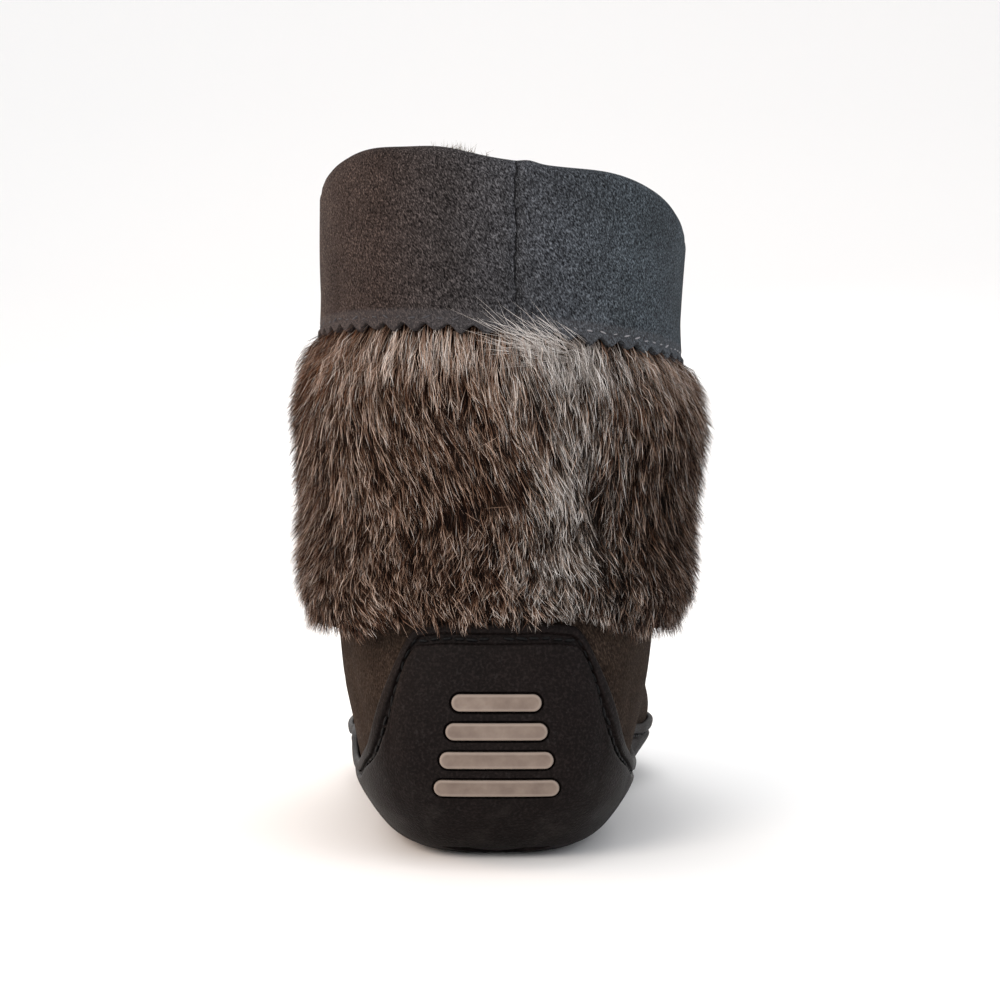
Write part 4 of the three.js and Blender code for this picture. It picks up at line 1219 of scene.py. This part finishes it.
# The fold over the rim, from the outside at 0 to the inside at 180 degrees
def rimRow(degrees):
    across = math.cos(math.radians(degrees))
    lift = math.sin(math.radians(degrees))

    def row(turn):
        _, whole = cuffUp(turn, 0.0)
        height = whole - cuff["rimHeight"] * (1 - lift)
        rise, _ = cuffUp(turn, height)
        relief = cuffRelief(turn, np.minimum(rise, 0.999), height) * (1 + across) / 2
        rise = np.minimum(rise, 1)
        return liftRim(skin(turn, rise, cuff["rimMiddle"] + cuff["rimHalf"] * across + relief), rise)
    return row


def insideRow(rise, offset):
    return lambda turn: skin(turn, rise, offset)


edgeOut = cuff["overFur"] + cuff["thickness"]
bodyOut = boot["gap"] + cuff["thickness"] + cuff["swell"]


def cuffOut(up):
    return mix(edgeOut, bodyOut, np.clip(up / 14, 0, 1)) + cuff["bandCurl"] * np.exp(-up / 2.5)


# A row of the cuff's outside: millimetres above its edge, and the share of the way from there to the fold
def outsideRow(up, share=0.0):
    def row(turn):
        _, whole = cuffUp(turn, 0.0)
        level = mix(up, whole - cuff["rimHeight"] - 1, share)
        height = level + max(0.0, 1 - up / 4.5) * toothWave(turn) * cuff["toothHeight"] / 2
        rise, _ = cuffUp(turn, height)
        return liftRim(skin(turn, rise, cuffOut(level) + cuffRelief(turn, rise, height)), rise)
    return row


cuffRows = [
    cuffRow(0, cuff["overFur"], 1, 0), cuffRow(0, cuff["overFur"] + 0.5, 1), cuffRow(0, edgeOut - 0.4, 1),
    cuffRow(0.15, edgeOut, 1),
    *(outsideRow(up) for up in cuff["outsideUps"]),
    *(outsideRow(cuff["bodyFrom"], share) for share in np.linspace(0, 1, cuff["bodyRows"])),
    *(rimRow(degrees) for degrees in range(0, 181, 20)),
    *(insideRow(*line) for line in cuff["insideRows"]),
    cuffRow(3, cuff["overFur"], 0.4, 0), cuffRow(0, cuff["overFur"], 1, 0),
]
cuffTurns = np.linspace(0, 2 * math.pi, cuff["teeth"] * cuff["perTooth"] + 1)
suedeCuff = addBand("suede_cuff", cuffTurns, cuffRows)
points = readPoints(suedeCuff) / mm - shift


# Millimetres above the line of the pinked edge, by height and side
def aboveCuffEdge(points):
    middleX, middleY = cuff["middle"]
    turn = np.arctan2(points[:, 0] - middleX, middleY - points[:, 1])
    return points[:, 2] - levelPoint(turn, levelAt(boot["cuffRise"]))[:, 2]


for name, values in (("aboveEdge", aboveCuffEdge(points)), ("fromSeam", rightOfSeam(points))):
    attribute = suedeCuff.data.attributes.new(name, "FLOAT", "POINT")
    attribute.data.foreach_set("value", values.astype(np.float32))
finishPiece(suedeCuff, cuffSuede, "cuff_suede", "cuff")


def cuffStitchPath(turn):
    up = cuff["stitchAbove"] - cuff["toothHeight"] / 2
    rise, _ = cuffUp(turn, up)
    return skin(turn, rise, cuffOut(up) + cuffRelief(turn, rise, up) + cuff["stitchOut"])


rng = np.random.default_rng(cuff["stitchSeed"])
cuffStitches = addStitches("cuff_stitches", cuffStitchPath, cuff, rng)
finishPiece(cuffStitches, greyThread, "cuff_suede")
print("cuff done")

# Fleece: a lining that goes up the inside to the fold of the cuff, and the insole
lining = {
    "thickness": 3.2, "columns": 180, "ring": 0.5, "lump": 0.8, "lumpSize": 9, "lumpSeed": 3, "waves": 12,
    "underCuff": -5.1, "cuffRises": (0.88, 0.93), "bottom": 0.075,
    "pile": 16000, "pileLength": 4.5, "pileWidth": 0.6, "pileTop": 0.97, "pileDepth": 0.4, "pileSeed": 21,
    "tufts": 520, "tuftTurn": (-0.235, 0.055), "tuftRise": (0.985, 0.995), "tuftUp": (0.008, 0.018),
    "tuftWidth": 0.25, "tuftTone": 0.3, "tuftOut": -4.5, "perRise": 340,
}


def lumps(points, size, seed):
    waves = np.random.default_rng(seed)
    total = np.zeros(points.shape[:-1])
    for _ in range(lining["waves"]):
        direction = waves.normal(0, 1, 3)
        direction *= 2 * math.pi / size / np.linalg.norm(direction)
        total += np.sin(points @ direction + waves.uniform(0, 2 * math.pi))
    return total / math.sqrt(lining["waves"])


def liningOffset(rise, through):
    wallFace = mix(-boot["wall"] - 0.4, lining["underCuff"], ease(*lining["cuffRises"], rise))
    return wallFace - lining["thickness"] * through


def liningRow(rise, through):
    def row(turn):
        lump = lining["lump"] * through * lumps(skin(turn, rise), lining["lumpSize"], lining["lumpSeed"])
        return skin(turn, rise, liningOffset(rise, through) - lump)
    return row


liningRises = [lining["bottom"], *np.linspace(0.1, 0.95, 30), 0.962]
liningRows = [
    *(liningRow(rise, 0.0) for rise in liningRises),
    liningRow(0.968, 0.0),
    liningRow(0.974, 0.35),
    liningRow(0.972, 0.75),
    *(liningRow(rise, 1.0) for rise in reversed(liningRises)),
    liningRow(lining["bottom"], 0.0),
]
fleeceLining = addBand("fleece_lining", ringTurns(lining["columns"], lining["ring"]), liningRows)
finishPiece(fleeceLining, fleece, "fleece")


# Curled wool that stands off the lining, and the tufts that show over the rim left of the back seam
def woolPile(rng):
    pile, tufts = lining["pile"], lining["tufts"]
    both = pile + tufts
    turn = np.append(rng.uniform(0, 2 * math.pi, pile), rng.normal(*lining["tuftTurn"], tufts))
    rise = np.append(lining["pileTop"] - lining["pileDepth"] * rng.random(pile) ** 1.5,
                     rng.uniform(*lining["tuftRise"], tufts))
    tuft = np.arange(both) >= pile
    along = np.linspace(0, 1, 3)[None]
    leanTurn = rng.normal(0, 0.03, both)[:, None]
    leanRise = np.where(tuft, rng.uniform(*lining["tuftUp"], both), rng.normal(0, 0.006, both))[:, None]
    curl = rng.uniform(0, 2 * math.pi, (both, 1))
    turns = turn[:, None] + leanTurn * along + 0.012 * np.sin(curl + 5 * along)
    rises = rise[:, None] + leanRise * along + 0.003 * np.cos(curl + 5 * along)
    base, normals = skinFrame(turns, np.minimum(rises, 1))
    base[..., 2] += np.maximum(rises - 1, 0) * lining["perRise"]
    root = np.where(tuft, lining["tuftOut"], liningOffset(rise, 0.8))[:, None]
    length = lining["pileLength"] * rng.uniform(0.4, 1, (both, 1))
    offset = root - np.where(tuft[:, None], rng.uniform(-1.5, 1.5, (both, 1)), length) * along
    return base + normals * offset[..., None], normals


rng = np.random.default_rng(lining["pileSeed"])
points, normals = woolPile(rng)
widths = np.repeat([lining["pileWidth"], lining["tuftWidth"]], [lining["pile"], lining["tufts"]])
rolls = rng.uniform(-1.5, 1.5, len(points))
tones = np.append(rng.random(lining["pile"]), rng.uniform(0, lining["tuftTone"], lining["tufts"]))
pileWool = addRibbons("fleece_pile", points, normals, widths, rolls, tones)
finishPiece(pileWool, looseWool, "fleece")

footbed = {
    "columns": 160, "clearance": 0.9, "lumpSize": 8, "lumpSeed": 6,
    # height over the cup's floor, inset, share of the way out from the middle, lumps
    "edgeRows": ((3.4, 0, 1, 0), (5, 1, 1, 0.2), (5.8, 3, 1, 0.3), (6, 5, 1, 0.35)),
    "topShares": (0.9, 0.75, 0.6, 0.45, 0.3, 0.15, 0),
}


def insideFoot(turn, height, inset):
    under = underside(levelPoint(turn, featherLevel)[..., 1])
    rise = riseAtHeight(turn, boot["soleThickness"] + under + height)
    return skin(turn, rise, -boot["wall"] - footbed["clearance"] - inset)


def insoleRow(height, inset, share=1.0, lump=0.0, drop=None):
    def row(turn):
        point = insideFoot(turn, height, inset)
        if drop is not None:
            point[..., 2] = levelPoint(turn, featherLevel)[..., 2] + drop
        middle = levelPoint(turn, {**featherLevel, "half": 0})[..., 0]
        point[..., 0] = mix(middle, point[..., 0], share)
        point[..., 2] += lump * lumps(point, footbed["lumpSize"], footbed["lumpSeed"])
        return point
    return row


insoleRows = [
    *(insoleRow(0, 1, share, drop=0) for share in (0, 0.5, 1)),
    insoleRow(0, 0, drop=1),
    *(insoleRow(*line) for line in footbed["edgeRows"]),
    *(insoleRow(6, 5, share, 0.4) for share in footbed["topShares"]),
]
fleeceInsole = addBand("fleece_insole", mirroredTurns(footbed["columns"], sole["ring"]), insoleRows)
finishPiece(fleeceInsole, fleece, "fleece", "footbed")
print("fleece done")

# Pale floor that curves up behind, soft lights and the camera at the photograph's angle
stage = {"half": 3.0, "front": -2.2, "bend": 0.4, "radius": 1.8, "height": 1.6, "colour": "#f6f5f3"}


def addStage():
    deselectAll()
    bpy.ops.mesh.primitive_grid_add(x_subdivisions=2, y_subdivisions=24, size=1)
    floor = bpy.context.object
    floor.name = floor.data.name = "floor"
    points = readPoints(floor)
    along = points[:, 1] + 0.5
    bend = np.clip((along - 0.5) / 0.3, 0, 1) * math.pi / 2
    y = np.where(along < 0.5, mix(stage["front"], stage["bend"], along / 0.5),
                 stage["bend"] + stage["radius"] * np.sin(bend))
    wall = np.clip((along - 0.8) / 0.2, 0, 1)
    z = stage["radius"] * (1 - np.cos(bend)) + stage["height"] * wall
    floor.data.vertices.foreach_set("co", np.stack([points[:, 0] * 2 * stage["half"], y, z], axis=-1).ravel())
    floor.data.update()
    bpy.ops.object.shade_smooth()
    material, add = newMaterial("matt white paper")
    shader = add("BsdfPrincipled", {"Base Color": stage["colour"], "Roughness": 0.9,
                                    "Specular IOR Level": 0.1})
    add("OutputMaterial", {"Surface": shader})
    floor.data.materials.append(material)


def addLight(name, place, aim, size, watts, colour):
    deselectAll()
    bpy.ops.object.light_add(type="AREA", location=place)
    light = bpy.context.object
    light.name = light.data.name = name
    light.data.shape = "DISK"
    light.data.size = size
    light.data.energy = watts
    light.data.color = toLinear(colour)[:3]
    light.rotation_euler = (Vector(aim) - Vector(place)).to_track_quat("-Z", "Y").to_euler()


addStage()
addLight("key light", (-0.6, -0.95, 0.7), (0, -0.05, 0.09), 0.7, 7, "#fff4ea")
addLight("fill light", (0.9, -0.6, 0.5), (0, -0.05, 0.09), 0.8, 1.5, "#e6eeff")
addLight("left light", (-0.9, 0.15, 0.35), (0, 0, 0.1), 0.5, 3.4, "#ffcda6")
addLight("top light", (0.1, 0.15, 1.3), (0, 0, 0.1), 1.0, 4, "#ffffff")
addLight("toe light", (-0.3, 1.1, 0.7), (0, 0.05, 0.06), 0.9, 4, "#ffffff")
world = bpy.data.worlds.new("soft room")
world.use_nodes = True
world.node_tree.nodes["Background"].inputs["Color"].default_value = toLinear("#f6f7fa")
world.node_tree.nodes["Background"].inputs["Strength"].default_value = 1.0
bpy.context.scene.world = world
bpy.context.scene.view_settings.view_transform = "Standard"

camera = {"behind": 500, "aside": 0, "height": 106, "lens": 63, "aimX": 1, "aimY": 0}


def addCamera():
    deselectAll()
    place = (np.array([camera["aside"], -camera["behind"], camera["height"]]) + shift) * mm
    aim = (np.array([camera["aimX"], camera["aimY"], camera["height"]]) + shift) * mm
    bpy.ops.object.camera_add(location=place)
    view = bpy.context.object
    view.rotation_euler = Vector(aim - place).to_track_quat("-Z", "Y").to_euler()
    view.data.lens = camera["lens"]
    view.data.sensor_width = 36
    view.data.clip_start = 0.01
    bpy.context.scene.camera = view


addCamera()
bpy.context.view_layer.update()
print("scene done")
